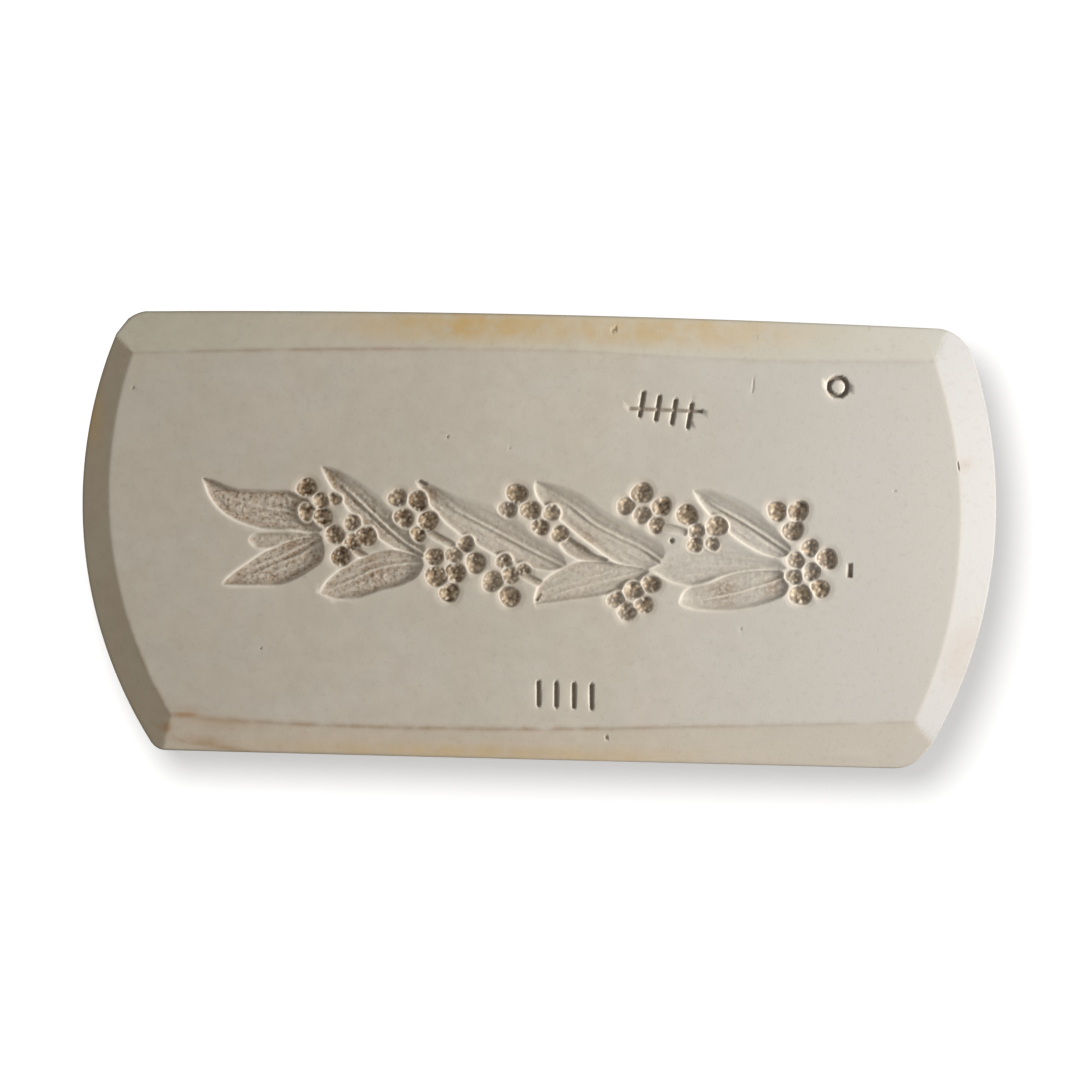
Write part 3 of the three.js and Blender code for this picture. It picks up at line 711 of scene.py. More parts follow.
def cut_marks(x, y):
    """The nick is a box with sloping walls, the pinholes are small bowls, and the ring is a round groove."""
    across = NICK["width"] / 2 - np.abs(x - NICK["at"][0])
    along = NICK["length"] / 2 - np.abs(y - NICK["at"][1])
    cuts = [NICK["depth"] * ramp(np.minimum(across, along), 0, NICK["wall"])]
    for hole_x, hole_y, radius in PINHOLES:
        off = np.hypot(x - hole_x, y - hole_y) / radius
        cuts.append(PINHOLE_SHAPE * radius * np.clip(1 - off * off, 0, 1))
    off = (np.hypot(x - RING["at"][0], y - RING["at"][1]) - RING["radius"]) / RING["half_width"]
    cuts.append(RING["depth"] * np.clip(1 - off * off, 0, 1) ** RING_ROUNDNESS)
    cuts += [tally(x, y, **row) for row in STROKES]
    cuts += [groove(x, y, **dent) for dent in DENTS]
    return np.maximum.reduce(cuts)


mark_map = cut_marks(plan_x, drawn_y)
print(f"marks: {len(PINHOLES)} pinholes, {len(DENTS)} dents, {len(STROKES)} tallies, one nick, one ring")

# %% [markdown]
# All carvings are put together by keeping the deepest at every point. A gouge leaves small facets in a
# leaf, which are two fine noises, stronger in some places than in others and towards the left end.

# %% Put the carvings together
# TOOL_NOISE and TOOL_SHIFT are in mm. The strength of the facets has TOOL_LEAST as its smallest value, and
# they are full where a leaf is TOOLED_FROM mm deep or more.
TOOL_NOISE = ((0.14, (0.75, 0.6), 5), (0.1, (0.38, 0.35), 6))
TOOL_SHIFT = -0.12
TOOL_STRENGTH = ((1.1, (3, 2), 10),)
TOOL_LEAST = 0.3
TOOL_ALONG = ((-25, -5, 25), (1.1, 0.45, 0.4))
TOOLED_FROM = 0.5

leaf_map = leaf_map * (1 - RIM_SHARE * cover_map)
pool_map = POOL_DEPTH * halo_map * halo_map * (3 - 2 * halo_map)
carve_map = np.maximum.reduce([leaf_map, berry_map, stalk_map, mark_map, pool_map])
tooling = added_noise(TOOL_NOISE, plan_x, plan_y) + TOOL_SHIFT
tooling *= TOOL_LEAST + added_noise(TOOL_STRENGTH, plan_x, plan_y)
tooling *= np.interp(plan_x, *TOOL_ALONG) * ramp(leaf_map, 0, TOOLED_FROM) * (berry_dirt == 0)
carve_map = np.maximum(carve_map + tooling, 0)
depth_map = depth_map + carve_map
print(f"carving: {np.mean(carve_map > 0.1):.0%} of the lattice is cut more than 0.1 mm deep")

# %% [markdown]
# Now the height field becomes a mesh. A cell of the lattice is divided finely only where something is
# carved, or where flat cells would cut a corner off the surface. A plain cell beside a divided one gets
# the points of the shared side too, so that the skin stays closed. The slab's wall hangs from the edge of
# the face in a few rings, down to a chamfer and in over the rim of the flat underside.

# %% Choose the cells to divide
# In mm: how far a plain cell may stray from the real depth, and the carving that it may leave out.
FLATNESS = 0.035
CARVED = 0.03


def cells_to_divide(depth, carve):
    """A cell is divided if it holds any carving, or if its real depth strays from its flat one."""
    rows, columns = (depth.shape[0] - 1) // FINE, (depth.shape[1] - 1) // FINE
    at_row = (np.arange(rows * FINE) % FINE / FINE)[:, None]
    at_column = (np.arange(columns * FINE) % FINE / FINE)[None, :]
    corner = depth[::FINE, ::FINE]
    spread = [np.repeat(np.repeat(corner[i : i + rows, j : j + columns], FINE, 0), FINE, 1)
              for i in (0, 1) for j in (0, 1)]
    flat = (spread[0] * (1 - at_column) + spread[1] * at_column) * (1 - at_row)
    flat += (spread[2] * (1 - at_column) + spread[3] * at_column) * at_row
    stray = np.abs(flat - depth[:-1, :-1]).reshape(rows, FINE, columns, FINE).max(axis=(1, 3))
    touching = np.maximum.reduce([carve[:-1, :-1], carve[1:, :-1], carve[:-1, 1:], carve[1:, 1:]])
    carved = touching.reshape(rows, FINE, columns, FINE).max(axis=(1, 3))
    divide = (stray > FLATNESS) | (carved > CARVED)
    divide[[0, -1], :] = False
    divide[:, [0, -1]] = False
    return divide


divide = cells_to_divide(depth_map, carve_map)
print(f"cells: {divide.sum()} of {divide.size} are divided into {FINE * FINE}")

# %% Turn the cells into faces


def divided_faces(divide, columns):
    """Four corners for each small square of the divided cells, counted through the whole lattice."""
    row, column = np.nonzero(divide)
    down, across = np.divmod(np.arange(FINE * FINE), FINE)
    first = ((row[:, None] * FINE + down) * columns + column[:, None] * FINE + across).ravel()
    return np.stack([first, first + 1, first + 1 + columns, first + columns], axis=1)


def plain_faces(divide, columns):
    """One face for each plain cell, with the extra points on each side where its neighbour is divided."""
    padded = np.pad(divide, 1)
    low, right = padded[:-2, 1:-1], padded[1:-1, 2:]
    high, left = padded[2:, 1:-1], padded[1:-1, :-2]
    kind = low * 1 + right * 2 + high * 4 + left * 8
    step = np.arange(FINE)
    sides = (step, step * columns + FINE, FINE * columns + FINE - step, (FINE - step) * columns)
    faces = []
    for code in range(16):
        row, column = np.nonzero(~divide & (kind == code))
        corners = [side if code >> number & 1 else side[:1] for number, side in enumerate(sides)]
        offsets = np.concatenate(corners)
        faces.append((row * FINE * columns + column * FINE)[:, None] + offsets)
    return faces


def boundary_loop(rows, columns):
    """The lattice points round the edge, one for each cell, counted anticlockwise from the lower left."""
    low = np.arange(0, columns - 1, FINE)
    right = np.arange(0, rows - 1, FINE) * columns + columns - 1
    high = (rows - 1) * columns + np.arange(columns - 1, 0, -FINE)
    left = np.arange(rows - 1, 0, -FINE) * columns
    return np.concatenate([low, right, high, left])


plan_faces = [divided_faces(divide, plan_x.shape[1]), *plain_faces(divide, plan_x.shape[1])]
print(f"faces: {len(plan_faces[0])} small squares and {sum(map(len, plan_faces[1:]))} plain cells")

# %% [markdown]
# The wall was cast against a board, so it is plain, but for shallow dips that a smooth noise makes. The
# foot is chamfered, and the underside is flat, as it has to lie on a bench without rocking.

# %% Hang the wall from the face and lay the underside
# The wall's steps are in mm below the edge of the face. A foot ring holds how far it is drawn in, in mm,
# and its height as a share of the chamfer's.
WALL_STEPS = (0.3, 0.9, 2.0, 4.0, 7.0, 10.0, 13.0)
FOOT_CHAMFER = 0.8
WALL_REST = 2
DIP_DEPTH = 0.12
DIP_CELL = (9, 4)
DIP_SEED = 7
DIP_LEAN = 1.3
FOOT_RINGS = ((0.0, 1.0), (0.1, 0.6), (0.35, 0.25), (0.62, 0.06), (0.8, 0.0), (1.6, 0.0), (4.0, 0.0))


def wall_rings(edge_x, edge_y, edge_z):
    """Each ring repeats the outline: at steps below the face's edge, then drawn in over the chamfer."""
    rings = []
    for step in WALL_STEPS:
        share = step / (WALL_STEPS[-1] + WALL_REST)
        z = edge_z * (1 - share) + FOOT_CHAMFER * share
        dip = DIP_DEPTH * soft_noise(edge_x + edge_y * DIP_LEAN, z, *DIP_CELL, DIP_SEED) * min(1, step)
        rings.append((edge_x * (1 - dip / (LENGTH / 2)), edge_y * (1 - dip / (WIDTH / 2)), z))
    for inset, share in FOOT_RINGS:
        narrow = (1 - inset / (LENGTH / 2), 1 - inset / (WIDTH / 2))
        rings.append((edge_x * narrow[0], edge_y * narrow[1], FOOT_CHAMFER * share + 0 * edge_z))
    return rings


def strip_faces(upper, lower):
    """Squares between two closed rings of point numbers, facing outwards."""
    return np.stack([upper, lower, np.roll(lower, -1), np.roll(upper, -1)], axis=1)


def build_slab(x, y, depth):
    """Gathers the face, the wall and the underside into points and faces that share their edges."""
    rows, columns = depth.shape
    faces = list(plan_faces)
    points = [np.stack([x.ravel(), y.ravel(), HEIGHT - depth.ravel()], axis=1)]
    count = rows * columns
    upper = boundary_loop(rows, columns)
    for ring in wall_rings(*points[0][upper].T):
        points.append(np.stack(ring, axis=1))
        lower = count + np.arange(len(upper))
        faces.append(strip_faces(upper, lower))
        upper, count = lower, count + len(upper)
    faces.append(upper[None, ::-1])
    return np.concatenate(points), faces


def used_points(points, faces):
    """Drops the lattice points that no face uses, and counts the rest anew."""
    used = np.zeros(len(points), bool)
    for group in faces:
        used[group.ravel()] = True
    renumber = np.cumsum(used) - 1
    return points[used], [renumber[group] for group in faces if len(group)], used


slab_points, slab_faces = build_slab(plan_x, plan_y, depth_map)
slab_points, slab_faces, kept = used_points(slab_points, slab_faces)
print(f"slab: {len(slab_points)} points, {sum(map(len, slab_faces))} faces")

# %% [markdown]
# Blender takes the mesh as flat lists: the points, the point numbers of all faces one after another,
# and where each face starts. That is much faster than handing over one face at a time.

# %% Make the mesh


def make_mesh(name, points, face_groups):
    """Fills a mesh from whole arrays; every face group has faces with one number of corners."""
    loops = np.concatenate([group.ravel() for group in face_groups])
    sizes = np.concatenate([np.full(len(group), group.shape[1]) for group in face_groups])
    mesh = bpy.data.meshes.new(name)
    mesh.vertices.add(len(points))
    mesh.vertices.foreach_set("co", (points * MM).astype(np.float32).ravel())
    mesh.loops.add(len(loops))
    mesh.loops.foreach_set("vertex_index", loops.astype(np.int32))
    mesh.polygons.add(len(sizes))
    mesh.polygons.foreach_set("loop_start", (np.cumsum(sizes) - sizes).astype(np.int32))
    mesh.update(calc_edges=True)
    mesh.validate()
    mesh.shade_smooth()
    return mesh


slab_mesh = make_mesh("mould_block_plaster", slab_points, slab_faces)
slab = bpy.data.objects.new("mould_block_plaster", slab_mesh)
bpy.context.collection.objects.link(slab)
slab_mesh.calc_loop_triangles()
print(f"mesh: {len(slab_mesh.loop_triangles)} triangles")

# %% [markdown]
# The plaster is stained where clay, rust and damp hands have touched it. Some of the maps below paint light
# and shade into the colour instead: highlights on rims and walls that face the light, shade on walls that
# face away and along the outer edge, and paler upper and lower bevels. The places are worked out here, once
# for each point, and kept on the mesh as named values, which the material breaks up with noise, so that no
# edge of a stain looks drawn. A smear is a product of two bells, one across it and one along it.

# %% Ochre and rust
# Each row is one smear: how strong it is, then the name, the middle and the reach of its two measures.
# The measures are in mm: x and y of the plan, two slanting lines, and the distance below each bevel.
OCHRE = (
    (1.0, "y", 34.7, 2.3, "x", -13, 18),
    (0.75, "y", 34.7, 2.3, "x", 23, 19),
    (0.45, "y", -35.2, 1.2, "x", 5, 22),
    (0.45, "y", -35.2, 1.2, "x", -25, 20),
    (0.7, "left edge", -71.5, 1.5, "y", 20, 6),
)
RUST = (
    (0.5, "right", 0.5, 0.4, "y", 13.7, 1.0),
    (0.3, "right", 1.2, 1.0, "y", -17, 6),
    (1.1, "y", -30.1, 0.4, "x", -57, 2.4),
    (0.5, "lower", 0.1, 0.3, "x", -50, 6),
    (1.1, "y", -32.4, 0.9, "x", -60.3, 0.9),
    (1.1, "lower edge", -34.4, 0.45, "x", -53, 5.5),
)


def bump_at(value, centre, reach):
    """1 at the centre, falling to 0 over the reach on either side, as a bell: exp(-(d / reach)^2)."""
    return np.exp(-(((value - centre) / reach) ** 2))


def smears(rows, measures):
    """The sum of strength * bell across * bell along over all rows, held between 0 and 1."""
    total = 0
    for strength, across, across_at, across_reach, along, along_at, along_reach in rows:
        bell = bump_at(measures[across], across_at, across_reach)
        total = total + strength * bell * bump_at(measures[along], along_at, along_reach)
    return np.clip(total, 0, 1)


measures = dict(zip(("upper", "lower", "left", "right"), bevel_drops(plan_x, plan_y)))
measures |= {"x": plan_x, "y": drawn_y}
measures["left edge"] = plan_x + 0.12 * drawn_y
measures["lower edge"] = drawn_y + 0.14 * (plan_x + 57.9)
stains = {"ochre": smears(OCHRE, measures), "rust": smears(RUST, measures)}
print(f"smears: {len(OCHRE)} of ochre and {len(RUST)} of rust")

# %% Dirt along the creases
# Each long crease: its name, the reach of its dirt across it in mm, how dirty it is everywhere, and how
# much dirtier it is about a middle, with that middle and its reach. The left crease is dirty from y = 0
# down to full_at. Dirt stops where a crease passes the bevels at its end.
LONG_CREASES = (("lower", 0.14, 0.35, 1.0, -12, 34), ("upper", 0.16, 0.2, 0.6, -38, 26))
LEFT_CREASE = {"line": 0.16, "dirt": 0.6, "full_at": -20}
CREASE_END = 0.15
MITRE_CLEAR = 0.05

inner = (measures["left"] < CREASE_END) & (measures["right"] < CREASE_END)
creases = [
    bump_at(measures[name], 0, line) * (dirt + more * bump_at(plan_x, middle, reach)) * inner
    for name, line, dirt, more, middle, reach in LONG_CREASES
]
left_dirt = LEFT_CREASE["dirt"] * bump_at(measures["left"], 0, LEFT_CREASE["line"])
creases.append(left_dirt * ramp(drawn_y, 0, LEFT_CREASE["full_at"]) * (measures["lower"] < MITRE_CLEAR))
stains["crease"] = np.clip(np.maximum.reduce(creases), 0, 1)
stains["clean"] = ramp(plan_x, 10, 55) + 0.5 * ramp(measures["right"], 0, 0.5)
print(f"creases: {np.mean(stains['crease'] > 0.5):.1%} of the lattice is dirty")

# %% [markdown]
# Inside the carving the rims are rubbed pale and the hollows hold dirt. Blurring the depth tells them
# apart: what stands above the blurred surface is a rim, what lies below it is a hollow. The way the
# blurred surface slopes tells which walls look towards the light: those get a painted highlight, rims
# that face it are painted paler, and walls that look away get painted shade. Crests are painted pale,
# partly as rubbed plaster and partly as painted highlight.

# %% Rims, walls and hollows of the carving, with painted highlights and shade
# LIT_FROM is the light's direction in the plan, turned from +X towards +Y. Each blur has its reaches in
# fine steps, and FULL_SLOPE is the change of depth over one step that counts as facing it fully.
LIT_FROM = math.radians(15)
WALL_BLUR = (4, 3)
RELIEF_BLUR = (2, 2)
FULL_SLOPE = 0.08
SOIL_PLACES = ((-58, -25, -10, 50), (0.9, 0.7, 0.35, 0.25))
# Warm soiled patches in the leaves, each an x, a y and a reach in mm.
PATCHES = (
    (-34.6, 9.4, 1.9), (7.4, -0.6, 2.2), (38.6, -6.8, 1.8), (30.5, -7.8, 2.4), (-40, -2.5, 1.8),
    (-17.5, 7.4, 1.6), (-0.3, -7.2, 1.3), (-29.6, -2.7, 1.2), (-16, -0.6, 1.3), (-26.5, -6.4, 2.2),
)


def smoothed(values, reaches):
    """For each reach in turn, every value becomes the mean over a square of its neighbours."""
    for reach in reaches:
        for axis in (0, 1):
            values = np.mean([np.roll(values, shift, axis) for shift in range(-reach, reach + 1)], axis=0)
    return values


def facing_light(blurred):
    """1 where the surface looks towards the light and 0 where it looks away. The depth grows towards
    (gx, gy), so its slope towards the light is gx cos(a) + gy sin(a)."""
    along, across = np.gradient(blurred, axis=1), np.gradient(blurred, axis=0)
    slope = along * math.cos(LIT_FROM) + across * math.sin(LIT_FROM)
    return np.clip(0.5 + slope / FULL_SLOPE, 0, 1)


# The numbers in the ramps are depths in mm where a stain starts and where it is full.
blurred = smoothed(carve_map, WALL_BLUR)
facing = facing_light(blurred)
relief = smoothed(carve_map, RELIEF_BLUR) - carve_map
wall = ramp(blurred, 0, 0.3) ** 2 * ramp(carve_map, 0.56, 0.16)
soil = np.interp(plan_x, *SOIL_PLACES)
patches = sum(np.exp(-((plan_x - a) ** 2 + (drawn_y - b) ** 2) / reach**2) for a, b, reach in PATCHES)
# Pale rims and crests are partly rubbed plaster and partly painted highlight, the walls that face the light
# get a painted highlight, and the walls that face away get painted shade.
stains |= {
    "carve": soil * ramp(carve_map, 0, 1.1),
    "patch": np.clip(patches, 0, 1) * ramp(carve_map, 0, 0.4),
    "rim_wear_and_highlight": ramp(blurred - carve_map, 0, 0.22) * facing**1.5,
    "lit": wall * ramp(facing, 0.5, 0.8) * (1 - cover_map),
    "crest_wear_and_highlight": ramp(relief, 0, 0.07) * ramp(carve_map, 0, 0.3),
    "shade": wall * ramp(facing, 0.4, 0.15) * soil**0.5,
    "hollow": soil * ramp(relief, 0, -0.1),
}
print(f"rims: {np.mean(stains['lit'] > 0.5):.1%} of the lattice is a wall that faces the light")

# %% Berries, marks and painted shade along the worn outer edge
# KNOB_PALE holds the height at which a knob's top begins to be pale, and that where it is fully so.
NICK_ZONE = 2
KNOB_PALE = (0.5 / 1.7, 1.5 / 1.7)
stains["berry"] = berry_dirt * ramp(berry_map + KNOB_HEIGHT * knob_map, 0.3, 0.65)
stains["knob"] = ramp(knob_map, *KNOB_PALE)
stains["halo"] = halo_map**2 * (berry_map < 0.1) * np.interp(plan_x, (-30, 40), (1, 0.6))
in_nick = np.hypot(plan_x - NICK["at"][0], drawn_y - NICK["at"][1]) < NICK_ZONE
stains["mark"] = np.where(in_nick, ramp(mark_map, 0, 0.2), ramp(mark_map, 0.15, 0.75))
stains["mark"] *= np.where(in_nick, np.interp(drawn_y, (-4.8, -3.4), (1.3, 0.7)), 1)
# The outer edge gets painted shade, strongest at the left end and along the top, weakest at the right end.
worn = ramp(edge_distance(plan_x, plan_y), 0.45, 0)
stains["edge"] = worn * np.clip(0.6 - plan_x / 100 + plan_y / 150, 0.2, 1)
print(f"stains: {len(stains)} kinds, {', '.join(stains)}")

# %% A tint for each bevel and along the slab, with painted light
# Tints are shares of red, green and blue: one for each bevel, and a row of them along the slab. They paint
# light into the colour: the upper and lower bevels paler, and the face lighter about the middle and darker
# towards the right end. The left bevel is also darker and browner, and the right one a little darker and
# cooler.
BEVEL_TINTS = {
    "upper": (1.12, 1.14, 1.1), "lower": (1.1, 1.06, 1.0),
    "left": (0.92, 0.86, 0.76), "right": (0.94, 0.96, 1.0),
}
TINT_PLACES = (-70, -50, -5, 26, 58)
TINTS = (
    (1.0, 1.0, 1.0), (1.02, 1.015, 1.03), (1.05, 1.055, 1.08), (1.035, 1.045, 1.07), (0.97, 0.965, 0.965),
)


def tint_map(x, y):
    """The row's tint at x, blended between its places, times that of the bevel that is cut deepest there."""
    drops = bevel_drops(x, y)
    deepest = np.maximum.reduce(drops)
    tint = np.ones((*x.shape, 4))
    for channel, values in enumerate(zip(*TINTS)):
        tint[..., channel] = np.interp(x, TINT_PLACES, values)
    for drop, shares in zip(drops, BEVEL_TINTS.values()):
        on_bevel = np.clip(drop / 0.15, 0, 1) * (drop >= deepest)
        tint[..., :3] *= 1 + (np.array(shares) - 1) * on_bevel[..., None]
    return tint


plan_tints = tint_map(plan_x, plan_y)
print(f"tints: {len(TINT_PLACES)} places along the slab, {len(BEVEL_TINTS)} bevels")

# %% Keep the stains on the mesh


def keep_on_mesh(mesh, name, values):
    """Stores one number for each point of the mesh, under a name that the material can read."""
    layer = mesh.attributes.new(name, "FLOAT", "POINT")
    layer.data.foreach_set("value", values.astype(np.float32))


def point_values(face_values, kept, total):
    """Values of the face's lattice, then zeros for the wall and the underside, in the mesh's own order."""
    values = np.zeros(total)
    values[: face_values.size] = face_values.ravel()
    return values[kept]


for name, values in stains.items():
    keep_on_mesh(slab_mesh, name, point_values(values, kept, len(kept)))
tints = np.ones((len(kept), 4))
tints[: plan_x.size] = plan_tints.reshape(-1, 4)
layer = slab_mesh.attributes.new("tint", "FLOAT_COLOR", "POINT")
layer.data.foreach_set("color", tints[kept].astype(np.float32).ravel())
print(f"mesh: {len(slab_mesh.attributes)} named values on {len(slab_mesh.vertices)} points")

# %% [markdown]
# Old plaster is a warm grey, never one flat colour. Large clouds, small mottling and fine dark specks are
# laid over each other, then the stains and the painted light and shade. Its surface is dead matt with a
# chalky grain, so the roughness is high and a fine bump stands for pores that are too small to model.

# %% Colours and nodes


def colour(red, green, blue):
    """Turns a colour picked from a screen, 0 to 255, into the linear values that the shader works in."""
    parts = [part / 255 for part in (red, green, blue)]
    return (*[part / 12.92 if part < 0.04 else ((part + 0.055) / 1.055) ** 2.4 for part in parts], 1.0)


class Shades:
    """A few words for wiring up a material: each method adds one node and returns its result."""

    def __init__(self, material):
        material.use_nodes = True
        self.tree = material.node_tree
        self.tree.nodes.clear()

    def node(self, kind, settings=None, inputs=None):
        node = self.tree.nodes.new(kind)
        for name, value in (settings or {}).items():
            setattr(node, name, value)
        for name, value in (inputs or {}).items():
            self.feed(node.inputs[name], value)
        return node

    def feed(self, socket, value):
        if isinstance(value, bpy.types.NodeSocket):
            self.tree.links.new(value, socket)
        else:
            socket.default_value = value

    def noise(self, place, size_mm, detail=3.0, roughness=0.55, low=0.35, high=0.65):
        """Noise whose cells are size_mm across, stretched so that low becomes 0 and high becomes 1."""
        scale = 1 / (size_mm * MM)
        inputs = {"Vector": place, "Scale": scale, "Detail": detail, "Roughness": roughness}
        noise = self.node("ShaderNodeTexNoise", {}, inputs).outputs["Fac"]
        return self.stretch(noise, low, high)

    def stretch(self, value, low, high, first=0.0, last=1.0):
        inputs = {"Value": value, "From Min": low, "From Max": high, "To Min": first, "To Max": last}
        return self.node("ShaderNodeMapRange", {"clamp": True}, inputs).outputs["Result"]

    def maths(self, operation, a, b):
        settings = {"operation": operation, "use_clamp": True}
        return self.node("ShaderNodeMath", settings, {0: a, 1: b}).outputs[0]

    def mix(self, share, a, b, blend="MIX"):
        node = self.node("ShaderNodeMix", {"data_type": "RGBA", "blend_type": blend})
        for name, value in (("Factor_Float", share), ("A_Color", a), ("B_Color", b)):
            self.feed(next(s for s in node.inputs if s.identifier == name), value)
        return next(s for s in node.outputs if s.identifier == "Result_Color")

    def kept(self, name):
        return self.node("ShaderNodeAttribute", {"attribute_name": name}).outputs["Fac"]


print(f"colour: the plaster's middle grey is {[round(part, 2) for part in colour(199, 190, 172)[:3]]}")

# %% The stains as the material sees them
# Each noise: the size of its cells in mm, its detail, and the values that become 0 and 1.
BREAKS = {
    "smears": (3.5, 5, 0.3, 0.6), "streaks": (4, 4, 0.3, 0.6), "dirt": (1.3, 5, 0.4, 0.62),
    "flecks": (0.55, 3, 0.52, 0.62), "dots": (0.5, 4, 0.34, 0.56), "crumbs": (0.65, 3, 0.38, 0.56),
}
# Each stain: its name on the mesh, its strength and its colour, then the noise that breaks it up and
# how much of the stain is left where that noise is lowest and where it is highest.
FIRST_STAINS = (
    ("ochre", 0.85, (214, 172, 92), "smears", 0.35, 1),
    ("crease", 0.6, (158, 124, 84), "streaks", 0, 1),
    ("rust", 0.7, (172, 122, 66), "smears", 0.5, 1),
    ("carve", 0.5, (182, 148, 108), "dirt", 0.15, 0.8),
    ("carve", 0.75, (108, 80, 50), "flecks", 0, 1),
    ("hollow", 0.4, (136, 102, 64), "dirt", 0.4, 1),
    # Painted shade on the walls of the carving that face away from the light, broken up by the same noise as
    # the dirt.
    ("shade", 0.5, (124, 94, 60), "dirt", 0.5, 1),
    ("patch", 0.6, (138, 104, 66), "dots", 0, 1),
    ("halo", 0.4, (186, 158, 126)),
)
# Below, the pale rims and crests are partly rubbed plaster and partly painted highlight, the walls that face
# the light get a painted highlight, and the outer edge gets painted shade.
LAST_STAINS = (
    ("knob", 0.7, (214, 190, 156)),
    ("rim_wear_and_highlight", 0.65, (230, 218, 200)),
    ("lit", 0.75, (240, 229, 212)),
    ("crest_wear_and_highlight", 0.5, (232, 220, 202)),
    ("mark", 0.6, (104, 82, 58)),
    ("edge", 0.55, (108, 96, 74)),
)


def broken_up(s, place, name, noise=None, least=1.0, most=1.0):
    """The stain's value from the mesh, times a noise that runs from least to most."""
    if noise is None:
        return s.kept(name)
    size_mm, detail, low, high = BREAKS[noise]
    shares = s.stretch(s.noise(place, size_mm, detail, low=low, high=high), 0, 1, least, most)
    return s.maths("MULTIPLY", s.kept(name), shares)


def lay_stains(s, place, tone, rows):
    """Mixes each stain's colour over the tone, by its strength times its broken-up value."""
    for name, strength, shade, *broken in rows:
        share = s.maths("MULTIPLY", broken_up(s, place, name, *broken), strength)
        tone = s.mix(share, tone, colour(*shade))
    return tone


print(f"stains: {len(FIRST_STAINS)} laid before the berries' floors and {len(LAST_STAINS)} after them")

# %% The plaster material


def bare_plaster(s, place, mottle):
    """Clouds, a warm cast, mottling and specks over each other, times the mesh's tint, partly painted light.
    """
    clouds = s.noise(place, 28)
    warm = s.stretch(s.noise(place, 9, low=0.4, high=0.6), 0, 1, 0, 0.35)
    specks = s.noise(place, 0.9, detail=2, low=0.56, high=0.74)
    tone = s.mix(clouds, colour(199, 190, 172), colour(205, 196, 179))
    tone = s.mix(warm, tone, colour(204, 188, 171))
    tone = s.mix(s.stretch(mottle, 0, 1, 0.32, 0), tone, colour(186, 176, 158))
    tone = s.mix(s.maths("MULTIPLY", s.kept("clean"), 0.85), tone, colour(199, 194, 185))
    tone = s.mix(s.maths("MULTIPLY", specks, 0.14), tone, colour(150, 138, 118))
    tint = s.node("ShaderNodeAttribute", {"attribute_name": "tint"}).outputs["Color"]
    return s.mix(1.0, tone, tint, "MULTIPLY")


def berry_floor(s, place):
    """Dark and middling dirt, mixed by a fine noise, with paler spots."""
    grime = s.noise(place, 0.8, detail=4, low=0.38, high=0.62)
    floor = s.mix(grime, colour(70, 46, 24), colour(132, 100, 66))
    return s.mix(s.noise(place, 1.9, detail=3, low=0.5, high=0.68), floor, colour(160, 132, 98))


def plaster():
    """Bare plaster, then its stains and painted light and shade, on a rough shader with a fine grain."""
    material = bpy.data.materials.new("cast_plaster")
    s = Shades(material)
    place = s.node("ShaderNodeTexCoord").outputs["Object"]
    mottle = s.noise(place, 2.6, detail=4)
    tone = lay_stains(s, place, bare_plaster(s, place, mottle), FIRST_STAINS)
    tone = s.mix(broken_up(s, place, "berry", "crumbs", 0.5, 1), tone, berry_floor(s, place))
    tone = lay_stains(s, place, tone, LAST_STAINS)
    grain = s.noise(place, 0.35, detail=3)
    fine = s.maths("ADD", s.maths("MULTIPLY", grain, 0.6), s.maths("MULTIPLY", mottle, 0.4))
    bump = s.node("ShaderNodeBump", {}, {"Strength": 0.1, "Distance": 0.00012, "Height": fine})
    inputs = {"Base Color": tone, "Roughness": 0.88, "Specular IOR Level": 0.25, "Normal": bump.outputs[0]}
    shader = s.node("ShaderNodeBsdfPrincipled", {}, inputs)
    s.node("ShaderNodeOutputMaterial", {}, {"Surface": shader.outputs[0]})
    print(f"material: {len(s.tree.nodes)} nodes in {material.name}")
    return material


slab_mesh.materials.append(plaster())
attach(slab, "root")
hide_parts("mould_block")

# %% [markdown]
# The light of the photograph comes low from the right and near, so the face grows brighter from left to
# right and every wall of the carving that faces right shines. The rest is even light from all sides. The
# white paper under the slab has a light of its own, which throws the soft shadow down and to the right,
# as in the photograph.

# %% White paper
PAPER_GREY = 0.8
PAPER_GLOW = 0.36


def in_view(s):
    """1 for a ray from the camera, a reflection or a refraction, and 0 for one that only brings light."""
    path = s.node("ShaderNodeLightPath")
    seen = s.maths("MAXIMUM", path.outputs["Is Camera Ray"], path.outputs["Is Glossy Ray"])
    return s.maths("MAXIMUM", seen, path.outputs["Is Transmission Ray"])


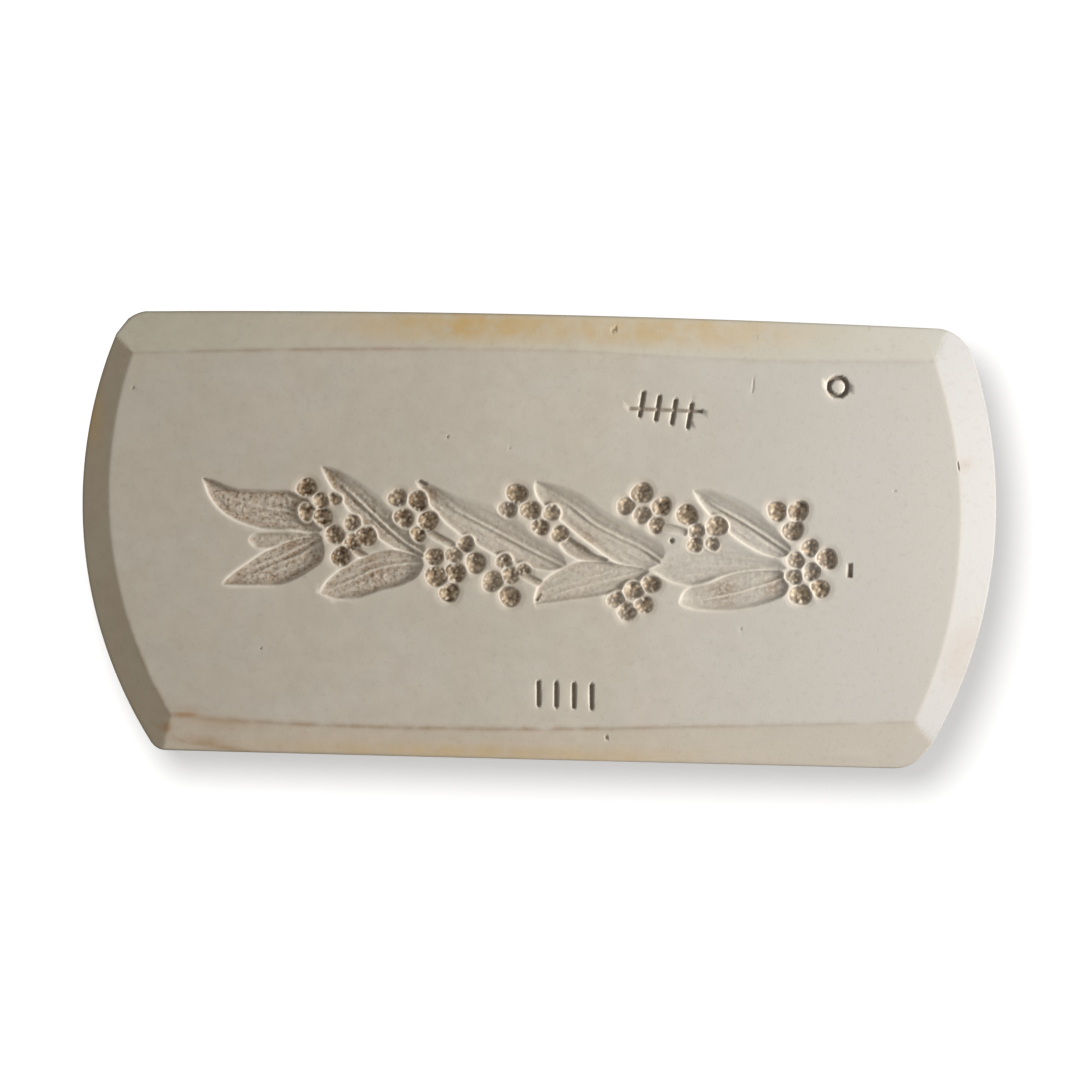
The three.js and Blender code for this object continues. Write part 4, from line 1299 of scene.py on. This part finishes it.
def white_paper():
    """A matt white floor that shows as pure white to the camera except where a shadow falls."""
    material = bpy.data.materials.new("white_paper")
    s = Shades(material)
    paper = s.node("ShaderNodeBsdfDiffuse", {}, {"Color": (PAPER_GREY, PAPER_GREY, PAPER_GREY, 1)}).outputs[0]
    strength = s.maths("MULTIPLY", in_view(s), PAPER_GLOW)
    glow = s.node("ShaderNodeEmission", {}, {"Color": (1, 1, 1, 1), "Strength": strength})
    both = s.node("ShaderNodeAddShader", {}, {0: paper, 1: glow.outputs[0]}).outputs[0]
    s.node("ShaderNodeOutputMaterial", {}, {"Surface": both})
    return material


def add_floor():
    bpy.ops.mesh.primitive_plane_add(size=3.0, location=(0, 0, 0))
    floor = bpy.context.object
    floor.name = "white_floor"
    floor.data.materials.append(white_paper())
    return floor


floor = add_floor()
print(f"floor: {floor.name}, {floor.dimensions.x:.0f} m wide")

# %% Lamps and world


def add_lamp(name, azimuth, elevation, distance, size, power, lit):
    """An area lamp that looks at the slab from that direction and lights only the objects in lit. Its
    light isn't passed on from one surface to the next, so the slab's bright end doesn't tint the paper."""
    data = bpy.data.lights.new(name, "AREA")
    data.shape = "DISK"
    data.size = size
    data.energy = power
    data.cycles.max_bounces = 0
    lamp = bpy.data.objects.new(name, data)
    a, e = math.radians(azimuth), math.radians(elevation)
    direction = (math.cos(e) * math.cos(a), math.cos(e) * math.sin(a), math.sin(e))
    lamp.location = tuple(distance * part for part in direction)
    lamp.rotation_euler = (math.pi / 2 - e, 0, a + math.pi / 2)
    bpy.context.collection.objects.link(lamp)
    receivers = bpy.data.collections.new(f"{name}_receivers")
    for thing in lit:
        receivers.objects.link(thing)
    lamp.light_linking.receiver_collection = receivers
    return lamp


def light_world(strength):
    """Even light from everywhere, and plain white wherever the camera or a reflection sees past the floor."""
    world = bpy.data.worlds.new("studio")
    bpy.context.scene.world = world
    s = Shades(world)
    level = s.stretch(in_view(s), 0, 1, strength, 1.0)
    background = s.node("ShaderNodeBackground", {}, {"Color": (1, 1, 1, 1), "Strength": level})
    s.node("ShaderNodeOutputWorld", {}, {"Surface": background.outputs[0]})


add_lamp("low_key", azimuth=3, elevation=27, distance=0.335, size=0.12, power=1.13, lit=[slab])
add_lamp("paper_light", azimuth=128, elevation=75, distance=0.6, size=0.24, power=2.2, lit=[floor])
light_world(0.39)
bpy.context.scene.view_settings.view_transform = "Standard"
print("light: one low lamp for the slab, one for the paper, and an even world")
